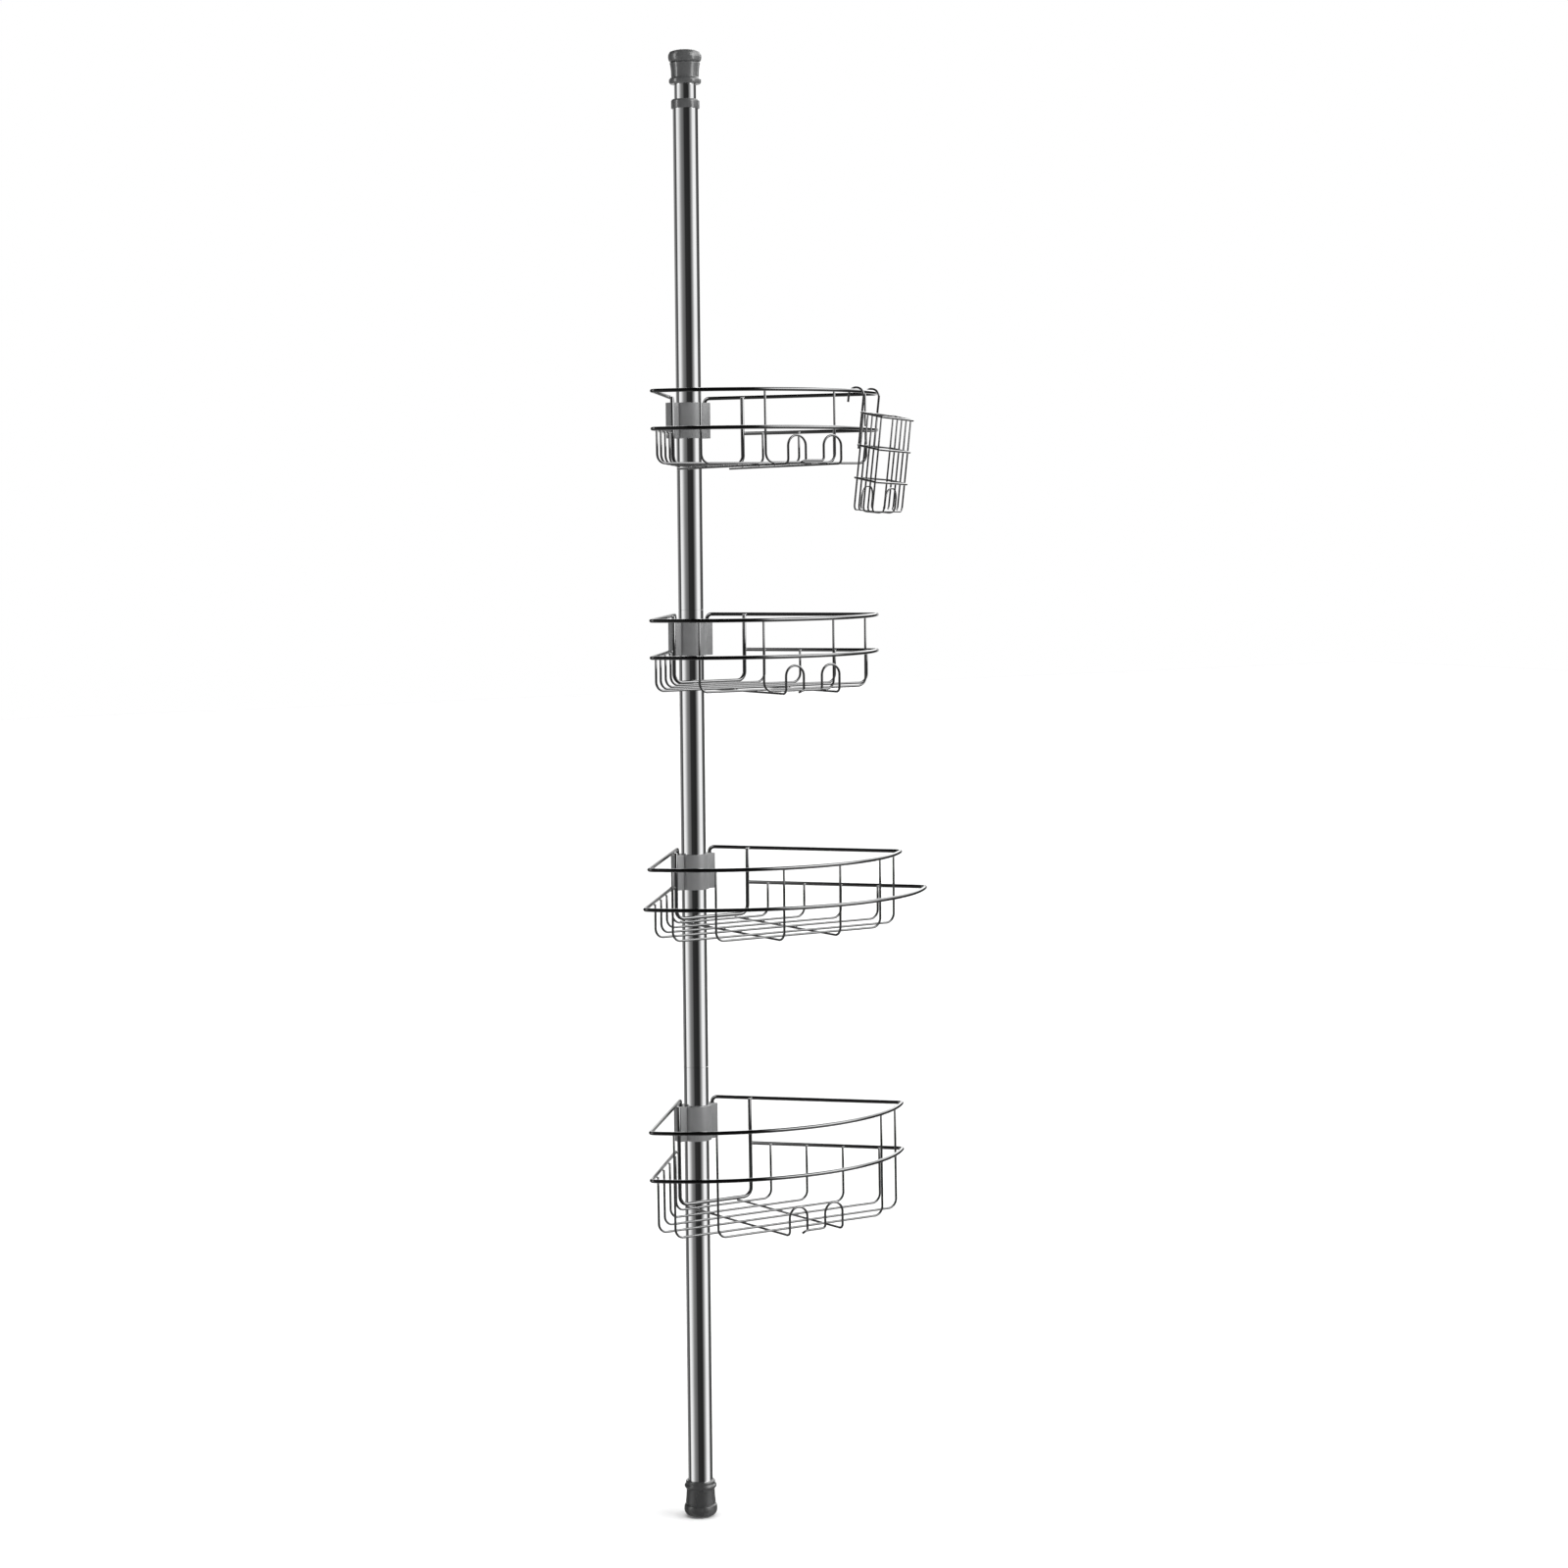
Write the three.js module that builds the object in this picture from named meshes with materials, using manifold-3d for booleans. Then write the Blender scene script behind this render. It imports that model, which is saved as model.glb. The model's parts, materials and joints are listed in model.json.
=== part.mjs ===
// Corner shower caddy on a floor-to-ceiling tension pole.
// Four wire corner shelves ride on a three-section tube; a small wire basket hangs on the top shelf.
// Millimetres. The origin is the centre of the foot's underside, +Z runs up the pole and the shelves'
// bisector points along -Y, so each shelf is symmetric about X = 0.
import * as THREE from "three";
import { mergeVertices } from "three/addons/utils/BufferGeometryUtils.js";
import Module from "manifold-3d";

const wasm = await Module();
wasm.setup();

// ---- driving dimensions ----
const GAP = 0.3; // clearance between two pieces
const TUBE_R = 12.7; // one inch outer diameter
const TUBE_WALL = 1.0;
const SEAM_LOW = 470.5; // joint between lower and middle tube
const SEAM_HIGH = 939; // joint between middle and upper tube
const UPPER_TUBE_TOP = 1448;
const INNER_TUBE_R = 11;
const INNER_TUBE_BOTTOM = 1300;
const INNER_TUBE_TOP = 1477.5;
const TOTAL_HEIGHT = 1500;
const COUPLER_HALF = 35;

const THICK_R = 1.9; // rim, middle ring and back frame wire
const THIN_R = 1.15; // floor wires and uprights
const SMALL_RING_R = 1.1; // hanging basket rings and hooks
const SMALL_WIRE_R = 0.9; // hanging basket cage
const WELDED = 1.8; // centre distance of two thin wires fused across each other
const PASSING = 2 * THIN_R + GAP; // centre distance of two thin wires of separate pieces

const CLAMP_R = 15.5;
const CLAMP_BORE_R = 14.3;
const CLAMP_HEIGHT = 36;
const EAR_END = 23.5; // half width across the ears
const EAR_FRONT = -5;
const EAR_BACK = 7.5;
const LEG_X = 19.2; // rim legs stand this far either side of the pole axis
const LEG_HOLE_R = 2.8; // leaves room for a leg that leans with the shelf's droop
const LEG_DEPTH = 30; // length of a leg inside its ear
const LEG_BEND = 5;
const CORNER_BEND = 8;
const FLOOR_BEND = 9;
const ARC_STEPS = 12; // straight facets along a ring's front

const FRAME_Y = 34.6; // back frame, in front of the pole axis
const FRAME_LIFT = 1.4; // back frame above the floor wires
const SIDE_WIRES = 4; // floor wires that rise to the middle ring; the rest rise to the rim
const HOOK_HEIGHT = 24.5;
const HOOK_OUTER_X = 31;
const HOOK_INNER_X = 10.5;
const HOOK_LINK_LIFT = 3; // the link between the hooks runs this far above the lengthwise wires

// Plan of a ring: side wires run from the legs to the corners, and a bowed front joins the corners.
const WIDE = { cornerX: 149.4, cornerY: 155.3, frontY: 222.4 };
const NARROW = { cornerX: 133, cornerY: 140.5, frontY: 207 };
const FLANGE = { cornerX: 166.3, cornerY: 174.6, frontY: 251.8 };

// floorY: depths of the six floor wires; the last two rise to the rim and the others to the ring.
// A shelf with hookY ends its two lengthwise wires in a pair of hooks there.
// swivel and droop are the small angles, in degrees, at which the wirework stands on its clamp:
// turned about the pole, and with its front lowered.
const NARROW_FLOOR = [50.5, 80, 108.5, 134.5, 171, 198];
const WIDE_FLOOR = [50.5, 80, 109.5, 139, 168.7, 193];
const SHELVES = [
  { rim: 1152.6, ring: 1116.4, floor: 1083.5, clampTop: 1148.3, plan: NARROW, ringPlan: NARROW,
    floorY: NARROW_FLOOR, hookY: 222, swivel: 0.72, droop: -0.68 },
  { rim: 934.1, ring: 898.3, floor: 865.8, clampTop: 928.6, plan: NARROW, ringPlan: NARROW,
    floorY: NARROW_FLOOR, hookY: 222, swivel: -0.29, droop: 0.09 },
  { rim: 695.9, ring: 660.4, floor: 627.4, clampTop: 689.6, plan: WIDE, ringPlan: FLANGE,
    floorY: WIDE_FLOOR, swivel: 0.11, droop: 0.34 },
  { rim: 437, ring: 390.2, floor: 334.8, clampTop: 430.5, plan: WIDE, ringPlan: WIDE,
    floorY: WIDE_FLOOR, hookY: 219, swivel: -0.33, droop: -0.73 },
];

// ---- finishes ----
const finish = (color, roughness, metalness) =>
  new THREE.MeshStandardMaterial({ color, roughness, metalness });
const CHROME = finish(0xd8dadc, 0.12, 1);
const SPRING_STEEL = finish(0x9a9c9e, 0.35, 1);
const GREY_PLASTIC = finish(0x8b8c8e, 0.5, 0);
const BUSH_PLASTIC = finish(0xb9babb, 0.45, 0);
const CAP_RUBBER = finish(0x6d6e70, 0.6, 0);
const FOOT_RUBBER = finish(0x3c3d3f, 0.7, 0);

const group = new THREE.Group();
group.name = "tension_pole_shower_caddy";

function add(parent, name, geometry, material) {
  const mesh = new THREE.Mesh(geometry, material);
  mesh.name = name;
  parent.add(mesh);
  return mesh;
}

// ---- solids ----
function toSolid(geometry) {
  const plain = geometry.clone();
  plain.deleteAttribute("normal");
  plain.deleteAttribute("uv");
  const merged = mergeVertices(plain, 1e-3);
  return new wasm.Manifold(
    new wasm.Mesh({
      numProp: 3,
      vertProperties: merged.attributes.position.array,
      triVerts: new Uint32Array(merged.index.array),
    }),
  );
}

function join(geometries) {
  const whole = geometries.map(toSolid).reduce((a, b) => a.add(b));
  const mesh = whole.getMesh();
  const joined = new THREE.BufferGeometry();
  joined.setAttribute("position", new THREE.BufferAttribute(mesh.vertProperties, 3));
  joined.setIndex(new THREE.BufferAttribute(mesh.triVerts, 1));
  joined.computeVertexNormals();
  return joined;
}

// A turned piece about Z from an outline of [radius, height] pairs, counter-clockwise.
function turned(outline, segments = 28) {
  const points = outline.map(([r, z]) => new THREE.Vector2(r, z));
  const first = points[0];
  const last = points[points.length - 1];
  if (first.x > 0 || last.x > 0) points.push(first.clone());
  return new THREE.LatheGeometry(points, segments).rotateX(Math.PI / 2);
}

function pipe(outerR, innerR, bottom, top) {
  return turned([[innerR, bottom], [outerR, bottom], [outerR, top], [innerR, top]]);
}

// ---- bent wire ----
const at = (x, y, z) => new THREE.Vector3(x, y, z);

// A path whose sample points are exactly the vertices it is given.
class WirePath extends THREE.Curve {
  constructor(vertices) {
    super();
    this.vertices = vertices;
  }

  indexAt(u) {
    return Math.round(u * (this.vertices.length - 1));
  }

  getPoint(u, target = new THREE.Vector3()) {
    return target.copy(this.vertices[this.indexAt(u)]);
  }

  getPointAt(u, target) {
    return this.getPoint(u, target);
  }

  getSpacedPoints() {
    return this.vertices.map((v) => v.clone());
  }

  getTangentAt(u, target = new THREE.Vector3()) {
    const i = this.indexAt(u);
    const here = this.vertices[i];
    const before = this.vertices[Math.max(i - 1, 0)];
    const after = this.vertices[Math.min(i + 1, this.vertices.length - 1)];
    const arriving = here.clone().sub(before).normalize();
    const leaving = after.clone().sub(here).normalize();
    return target.copy(arriving).add(leaving).normalize();
  }
}

// Rounds the corners of an open polyline; bends[i] is the bend radius at vertex i, 0 for none.
function bent(corners, bends, stepAngle = 0.62) {
  const path = [corners[0]];
  for (let i = 1; i < corners.length - 1; i++) {
    const here = corners[i];
    const back = corners[i - 1].clone().sub(here);
    const ahead = corners[i + 1].clone().sub(here);
    const room = Math.min(back.length(), ahead.length());
    back.normalize();
    ahead.normalize();
    const half = back.angleTo(ahead) / 2;
    const turn = Math.PI - 2 * half;
    if (!bends[i] || turn < 0.01) {
      path.push(here);
      continue;
    }
    const reach = Math.min(bends[i] / Math.tan(half), room * 0.499);
    const radius = reach * Math.tan(half);
    const centre = back.clone().add(ahead).normalize();
    centre.multiplyScalar(radius / Math.sin(half)).add(here);
    const start = here.clone().addScaledVector(back, reach).sub(centre);
    const end = here.clone().addScaledVector(ahead, reach).sub(centre);
    const steps = Math.max(2, Math.ceil(turn / stepAngle));
    for (let k = 0; k <= steps; k++) {
      const share = k / steps;
      const a = Math.sin((1 - share) * turn) / Math.sin(turn);
      const b = Math.sin(share * turn) / Math.sin(turn);
      path.push(start.clone().multiplyScalar(a).addScaledVector(end, b).add(centre));
    }
  }
  path.push(corners[corners.length - 1]);
  return path;
}

function wire(path, radius, sides) {
  const section = new THREE.Shape();
  for (let i = 0; i < sides; i++) {
    const angle = ((i + 0.5) / sides) * 2 * Math.PI;
    const x = radius * Math.cos(angle);
    const y = radius * Math.sin(angle);
    if (i === 0) section.moveTo(x, y);
    else section.lineTo(x, y);
  }
  section.closePath();
  return new THREE.ExtrudeGeometry(section, {
    steps: path.length - 1,
    bevelEnabled: false,
    extrudePath: new WirePath(path),
  });
}

// ---- shelf plan ----
// The bowed front of a ring, and the radius of a line that follows it on the inside.
function frontArc(plan) {
  const bow = plan.frontY - plan.cornerY;
  const radius = (plan.cornerX ** 2 + bow ** 2) / (2 * bow);
  const half = Math.asin(plan.cornerX / radius);
  const innerR = radius * Math.cos(half / ARC_STEPS) - THICK_R - THIN_R - GAP;
  return { radius, innerR, half, centreY: plan.frontY - radius };
}

// Half width of the side wires at a depth in front of the pole axis.
function sideX(plan, depth) {
  return LEG_X + ((plan.cornerX - LEG_X) * depth) / plan.cornerY;
}

// How far a wire that lies inside a side wire is moved in, measured along X.
function sideInset(plan, wireR) {
  const slope = (plan.cornerX - LEG_X) / plan.cornerY;
  return (THICK_R + wireR + GAP) * Math.hypot(1, slope);
}

// Half width of a line that follows the front arc on its inside, at a given depth.
function arcX(plan, depth) {
  const arc = frontArc(plan);
  return Math.sqrt(arc.innerR ** 2 - (depth - arc.centreY) ** 2);
}

// Depth of that line at a given half width.
function arcY(plan, x) {
  const arc = frontArc(plan);
  return arc.centreY + Math.sqrt(arc.innerR ** 2 - x ** 2);
}

// Corners of a ring from left to right, starting and ending on the side wires at startDepth.
function ringCorners(plan, startDepth, z) {
  const arc = frontArc(plan);
  const startX = sideX(plan, startDepth);
  const corners = [at(-startX, -startDepth, z)];
  for (let i = 0; i <= ARC_STEPS; i++) {
    const angle = arc.half * ((2 * i) / ARC_STEPS - 1);
    const x = arc.radius * Math.sin(angle);
    corners.push(at(x, -arc.centreY - arc.radius * Math.cos(angle), z));
  }
  corners.push(at(startX, -startDepth, z));
  return corners;
}

// ---- shelf pieces ----
function topRim(shelf) {
  const ring = ringCorners(shelf.plan, 0, shelf.rim);
  const foot = shelf.clampTop - LEG_DEPTH;
  const corners = [at(-LEG_X, 0, foot), ...ring, at(LEG_X, 0, foot)];
  const bends = corners.map(() => 0);
  bends[1] = LEG_BEND;
  bends[2] = CORNER_BEND;
  bends[corners.length - 3] = CORNER_BEND;
  bends[corners.length - 2] = LEG_BEND;
  return wire(bent(corners, bends), THICK_R, 6);
}

function middleRing(shelf) {
  const corners = ringCorners(shelf.ringPlan, FRAME_Y - 4, shelf.ring);
  const bends = corners.map(() => 0);
  bends[1] = CORNER_BEND;
  bends[corners.length - 2] = CORNER_BEND;
  return wire(bent(corners, bends), THICK_R, 6);
}

function backFrame(shelf) {
  const x = sideX(shelf.plan, FRAME_Y) - sideInset(shelf.plan, THICK_R);
  const low = shelf.floor + FRAME_LIFT;
  const corners = [
    at(-x, -FRAME_Y, shelf.rim),
    at(-x, -FRAME_Y, low),
    at(x, -FRAME_Y, low),
    at(x, -FRAME_Y, shelf.rim),
  ];
  return wire(bent(corners, [0, FLOOR_BEND, FLOOR_BEND, 0]), THICK_R, 6);
}

function floorWire(x, depth, low, high) {
  const corners = [
    at(-x, -depth, high),
    at(-x, -depth, low),
    at(x, -depth, low),
    at(x, -depth, high),
  ];
  return wire(bent(corners, [0, FLOOR_BEND, FLOOR_BEND, 0]), THIN_R, 6);
}

// Two lengthwise wires under the floor that end in a pair of hooks. The link between the hooks
// is bent from the right-hand wire, and its short tail stands out past the left hook.
function hookWires(shelf) {
  const low = shelf.floor - PASSING;
  const high = shelf.floor + HOOK_HEIGHT;
  const link = low + HOOK_LINK_LIFT;
  const start = FRAME_Y - 8;
  const loop = (HOOK_OUTER_X - HOOK_INNER_X) / 2;
  const hook = (side) => [
    at(side * HOOK_OUTER_X, -start, low),
    at(side * HOOK_OUTER_X, -shelf.hookY, low),
    at(side * HOOK_OUTER_X, -shelf.hookY, high),
    at(side * HOOK_INNER_X, -shelf.hookY, high),
    at(side * HOOK_INNER_X, -shelf.hookY, link),
  ];
  const tail = [
    at(-HOOK_INNER_X - 1, -shelf.hookY, link),
    at(-HOOK_INNER_X - 6, -shelf.hookY, link - 2.2),
  ];
  return [
    wire(bent([...hook(1), ...tail], [0, 5, loop, loop, 3, 6, 0], 0.8), THIN_R, 6),
    wire(bent(hook(-1), [0, 5, loop, loop, 0], 0.8), THIN_R, 6),
  ];
}

// A lengthwise wire under the floor that rises at the front to the rim.
function frontUpright(shelf, x) {
  const low = shelf.floor - PASSING;
  const front = arcY(shelf.plan, x);
  const corners = [
    at(x, -(FRAME_Y - 8), low),
    at(x, -front, low),
    at(x, -front, shelf.rim),
  ];
  return wire(bent(corners, [0, FLOOR_BEND, 0]), THIN_R, 6);
}

// A floor wire that rises inside the middle ring on both sides.
function sideWire(shelf, depth) {
  const x = sideX(shelf.ringPlan, depth) - sideInset(shelf.ringPlan, THIN_R);
  return floorWire(x, depth, shelf.floor, shelf.ring);
}

// The two foremost floor wires, which rise to the rim, welded on the lengthwise wires.
function frontCage(shelf) {
  const low = shelf.floor - PASSING + WELDED;
  const wires = shelf.floorY
    .slice(SIDE_WIRES)
    .map((depth) => floorWire(arcX(shelf.plan, depth), depth, low, shelf.rim));
  if (shelf.hookY) wires.push(...hookWires(shelf));
  else wires.push(frontUpright(shelf, -33), frontUpright(shelf, 33));
  return join(wires);
}

// A many-sided hole centred on the X axis, for a shape that will be extruded.
function roundHole(x, radius, sides) {
  const hole = new THREE.Path();
  for (let i = 0; i < sides; i++) {
    const angle = (-(i + 0.5) / sides) * 2 * Math.PI;
    const px = x + radius * Math.cos(angle);
    const py = radius * Math.sin(angle);
    if (i === 0) hole.moveTo(px, py);
    else hole.lineTo(px, py);
  }
  hole.closePath();
  return hole;
}

// Sleeve round the pole with an ear on each side, bored for the rim's legs.
function clampBody() {
  const front = Math.asin(-EAR_FRONT / CLAMP_R);
  const rear = Math.asin(EAR_BACK / CLAMP_R);
  const cut = 1.5;
  const rightEar = [
    [CLAMP_R * Math.cos(front), EAR_FRONT],
    [EAR_END - cut, EAR_FRONT],
    [EAR_END, EAR_FRONT + cut],
    [EAR_END, EAR_BACK - cut],
    [EAR_END - cut, EAR_BACK],
    [CLAMP_R * Math.cos(rear), EAR_BACK],
  ];
  const leftEar = rightEar.map(([x, y]) => [-x, y]).reverse();
  const shape = new THREE.Shape();
  shape.moveTo(...rightEar[0]);
  rightEar.slice(1).forEach((p) => shape.lineTo(...p));
  shape.absarc(0, 0, CLAMP_R, rear, Math.PI - rear, false);
  leftEar.slice(1).forEach((p) => shape.lineTo(...p));
  shape.absarc(0, 0, CLAMP_R, Math.PI + front, 2 * Math.PI - front, false);
  shape.holes.push(roundHole(0, CLAMP_BORE_R, 24));
  shape.holes.push(roundHole(-LEG_X, LEG_HOLE_R, 8));
  shape.holes.push(roundHole(LEG_X, LEG_HOLE_R, 8));
  return new THREE.ExtrudeGeometry(shape, {
    depth: CLAMP_HEIGHT,
    bevelEnabled: false,
    curveSegments: 7,
  });
}

// Split bush between the pole and the clamp's bore.
function splitBush() {
  const inner = TUBE_R + GAP;
  const outer = CLAMP_BORE_R - GAP;
  const slit = 0.09;
  const from = Math.PI / 2 + slit;
  const to = Math.PI / 2 - slit + 2 * Math.PI;
  const shape = new THREE.Shape();
  shape.absarc(0, 0, outer, from, to, false);
  shape.absarc(0, 0, inner, to, from, true);
  shape.closePath();
  return new THREE.ExtrudeGeometry(shape, {
    depth: CLAMP_HEIGHT - 1,
    bevelEnabled: false,
    curveSegments: 10,
  });
}

// ---- pole ----
const pole = new THREE.Group();
pole.name = "pole";
group.add(pole);

const boreR = TUBE_R - TUBE_WALL;
const plugR = boreR - GAP;
const SOCKET_FLOOR = 8;

const foot = turned([
  [0, 0], [11.6, 0], [15.4, 2.5], [17, 5.6], [17.15, 9], [16.4, 12.4],
  [15.6, 13.6], [15.6, 16], [14.9, 21], [14.6, 28], [15.2, 29.8], [16.6, 31.2],
  [16.6, 33], [15.3, 34.6], [15.1, 37], [14.4, 38], [TUBE_R + GAP, 38],
  [TUBE_R + GAP, SOCKET_FLOOR], [0, SOCKET_FLOOR],
]);
add(pole, "foot_pad", foot, FOOT_RUBBER);
add(pole, "lower_tube", pipe(TUBE_R, boreR, SOCKET_FLOOR + GAP, SEAM_LOW - GAP / 2), CHROME);
add(pole, "middle_tube", pipe(TUBE_R, boreR, SEAM_LOW + GAP / 2, SEAM_HIGH - GAP / 2), CHROME);
add(pole, "upper_tube", pipe(TUBE_R, boreR, SEAM_HIGH + GAP / 2, UPPER_TUBE_TOP), CHROME);
const lowCoupler = pipe(plugR, plugR - 1, SEAM_LOW - COUPLER_HALF, SEAM_LOW + COUPLER_HALF);
add(pole, "lower_coupler", lowCoupler, SPRING_STEEL);
const highCoupler = pipe(plugR, plugR - 1, SEAM_HIGH - COUPLER_HALF, SEAM_HIGH + COUPLER_HALF);
add(pole, "upper_coupler", highCoupler, SPRING_STEEL);

const slideR = INNER_TUBE_R + GAP;
const collar = turned([
  [TUBE_R + GAP, 1442.3], [14.3, 1442.3], [14.3, 1450], [13.4, 1451.5],
  [slideR, 1451.5], [slideR, UPPER_TUBE_TOP + GAP], [TUBE_R + GAP, UPPER_TUBE_TOP + GAP],
]);
add(pole, "tube_collar", collar, GREY_PLASTIC);

// ---- spring-loaded head ----
const GUIDE_HEIGHT = 10;
const guideBottom = INNER_TUBE_BOTTOM - GUIDE_HEIGHT;
const SPRING_LENGTH = 100;
const SPRING_R = 8.4;
const SPRING_WIRE_R = 0.95;
const SPRING_TURNS = 8;
const seatTop = guideBottom - SPRING_LENGTH;

const seat = turned([[0, seatTop - 9], [plugR, seatTop - 9], [plugR, seatTop], [0, seatTop]]);
add(pole, "spring_seat", seat, BUSH_PLASTIC);

const coil = [];
const coilSteps = SPRING_TURNS * 11;
const coilRise = SPRING_LENGTH - 2 * (SPRING_WIRE_R + GAP);
for (let i = 0; i <= coilSteps; i++) {
  const angle = (i / coilSteps) * SPRING_TURNS * 2 * Math.PI;
  const z = seatTop + SPRING_WIRE_R + GAP + (coilRise * i) / coilSteps;
  coil.push(at(SPRING_R * Math.cos(angle), SPRING_R * Math.sin(angle), z));
}
add(pole, "tension_spring", wire(coil, SPRING_WIRE_R, 4), SPRING_STEEL);

const head = new THREE.Group();
head.name = "tension_head";
group.add(head);
const innerWall = INNER_TUBE_R - 1;
const innerTube = pipe(INNER_TUBE_R, innerWall, INNER_TUBE_BOTTOM, INNER_TUBE_TOP);
add(head, "inner_tube", innerTube, CHROME);
const guide = turned([
  [0, guideBottom], [plugR, guideBottom], [plugR, INNER_TUBE_BOTTOM - GAP],
  [innerWall - GAP, INNER_TUBE_BOTTOM - GAP], [innerWall - GAP, INNER_TUBE_BOTTOM + 12],
  [0, INNER_TUBE_BOTTOM + 12],
]);
add(head, "inner_tube_guide", guide, BUSH_PLASTIC);
const CAP_TOP = 1488;
const cap = turned([
  [slideR, 1466.6], [15, 1466.6], [16.2, 1468.2], [16.2, 1471], [15.2, 1472.6],
  [14.2, 1473.6], [14.1, 1480], [14.8, 1485.4], [15.5, CAP_TOP], [0, CAP_TOP],
  [0, INNER_TUBE_TOP + GAP], [slideR, INNER_TUBE_TOP + GAP], [slideR, 1466.6],
]);
add(head, "top_cap", cap, GREY_PLASTIC);
const padBottom = CAP_TOP + GAP;
const pad = turned([
  [0, padBottom], [14.8, padBottom], [16.2, padBottom + 1.6], [16.85, padBottom + 4.6],
  [16.6, TOTAL_HEIGHT - 4], [15.4, TOTAL_HEIGHT - 1.4], [13, TOTAL_HEIGHT],
  [0, TOTAL_HEIGHT],
]);
add(head, "top_pad", pad, CAP_RUBBER);

// ---- shelves ----
SHELVES.forEach((shelf, i) => {
  const name = "shelf" + (i + 1);
  const body = new THREE.Group();
  body.name = name;
  group.add(body);
  const clamp = add(body, name + "_clamp", clampBody(), GREY_PLASTIC);
  clamp.position.z = shelf.clampTop - CLAMP_HEIGHT;
  const bush = add(body, name + "_split_bush", splitBush(), BUSH_PLASTIC);
  bush.position.z = shelf.clampTop - CLAMP_HEIGHT + 0.5;

  // The wirework turns about the pole, and droops about the level of its rim on the pole's axis.
  const wires = new THREE.Group();
  wires.name = name + "_wires";
  const droop = THREE.MathUtils.degToRad(shelf.droop);
  wires.rotation.set(droop, 0, THREE.MathUtils.degToRad(shelf.swivel), "ZYX");
  wires.position.copy(at(0, 0, shelf.rim).sub(at(0, 0, shelf.rim).applyEuler(wires.rotation)));
  body.add(wires);
  add(wires, name + "_top_rim", topRim(shelf), CHROME);
  add(wires, name + "_middle_ring", middleRing(shelf), CHROME);
  add(wires, name + "_back_frame", backFrame(shelf), CHROME);
  for (let k = 0; k < SIDE_WIRES; k++) {
    add(wires, name + "_side_wire_" + (k + 1), sideWire(shelf, shelf.floorY[k]), CHROME);
  }
  add(wires, name + "_front_cage", frontCage(shelf), CHROME);
});

// ---- hanging basket ----
// Local frame: X along the rim between its hooks, -Y away from the pole, Z up, origin midway between
// the tops of the hooks.
const RIM_ANGLE = 0.593; // bearing of the hooks from the bisector, seen from the front arc's centre
const LEAN = 0.12; // the basket's foot leans in towards the shelf
const HOOK_SPREAD = 21.6; // half the distance between the hooks
const HOOK_R = 7.8;
const HOOK_TAIL = 15;
const RING_DROP = 25.5; // top ring below the tops of the hooks
const RING_STEP = 31.8;
const BASKET_LEFT = -32.4;
const BASKET_LENGTH = 90;
const BASKET_DEPTH = 23.5;
const BASKET_HEIGHT = 93; // top ring to floor wires
const ringBackY = -(HOOK_R + 2 * SMALL_RING_R + GAP);

const topShelf = SHELVES[0];
const topArc = frontArc(topShelf.plan);
const chordR = Math.sqrt(topArc.radius ** 2 - HOOK_SPREAD ** 2);
const hanging = new THREE.Group();
hanging.name = "hanging_basket";
hanging.position.set(
  chordR * Math.sin(RIM_ANGLE),
  -topArc.centreY - chordR * Math.cos(RIM_ANGLE),
  topShelf.rim + THICK_R + SMALL_RING_R + GAP,
);
hanging.rotation.z = RIM_ANGLE;
group.getObjectByName("shelf1_wires").add(hanging);
const basket = new THREE.Group();
basket.rotation.x = LEAN;
hanging.add(basket);

// Ring bent from one length, its ends meeting at the middle of the back side.
function basketRing(z) {
  const left = BASKET_LEFT;
  const right = BASKET_LEFT + BASKET_LENGTH;
  const middle = (left + right) / 2;
  const frontY = ringBackY - BASKET_DEPTH;
  const corners = [
    at(middle + GAP / 2, ringBackY, z), at(right, ringBackY, z), at(right, frontY, z),
    at(left, frontY, z), at(left, ringBackY, z), at(middle - GAP / 2, ringBackY, z),
  ];
  return wire(bent(corners, [0, 3, 3, 3, 3, 0], 0.8), SMALL_RING_R, 6);
}

function basketCage() {
  const inset = SMALL_RING_R + SMALL_WIRE_R + GAP;
  const left = BASKET_LEFT + inset;
  const right = BASKET_LEFT + BASKET_LENGTH - inset;
  const high = -RING_DROP;
  const low = high - BASKET_HEIGHT;
  const wires = [];
  for (let i = 0; i < 5; i++) {
    const y = ringBackY - inset - (i * (BASKET_DEPTH - 2 * inset)) / 4;
    const corners = [at(left, y, high), at(left, y, low), at(right, y, low), at(right, y, high)];
    wires.push(wire(bent(corners, [0, 5, 5, 0], 0.8), SMALL_WIRE_R, 5));
  }
  // Two arches, one inside each long side, joined under the floor by their own lengthwise ends.
  const centreX = (left + right) / 2;
  const archHalf = 14.5;
  const under = low - 1.5;
  const archTop = low + 23;
  const midY = ringBackY - BASKET_DEPTH / 2;
  for (const side of [-1, 1]) {
    const y = midY + side * (BASKET_DEPTH / 2 - 0.4);
    const corners = [
      at(centreX - archHalf, midY - side, under), at(centreX - archHalf, y, under),
      at(centreX - archHalf, y, archTop), at(centreX + archHalf, y, archTop),
      at(centreX + archHalf, y, under), at(centreX + archHalf, midY - side, under),
    ];
    wires.push(wire(bent(corners, [0, 2, 9, 9, 2, 0], 0.8), SMALL_WIRE_R, 5));
  }
  return join(wires);
}

function basketHook(x) {
  const corners = [
    at(x, -HOOK_R, -RING_DROP - RING_STEP - 2), at(x, -HOOK_R, 0),
    at(x, HOOK_R, 0), at(x, HOOK_R, -HOOK_TAIL),
  ];
  return wire(bent(corners, [0, HOOK_R, HOOK_R, 0], 0.5), SMALL_RING_R, 6);
}

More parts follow.
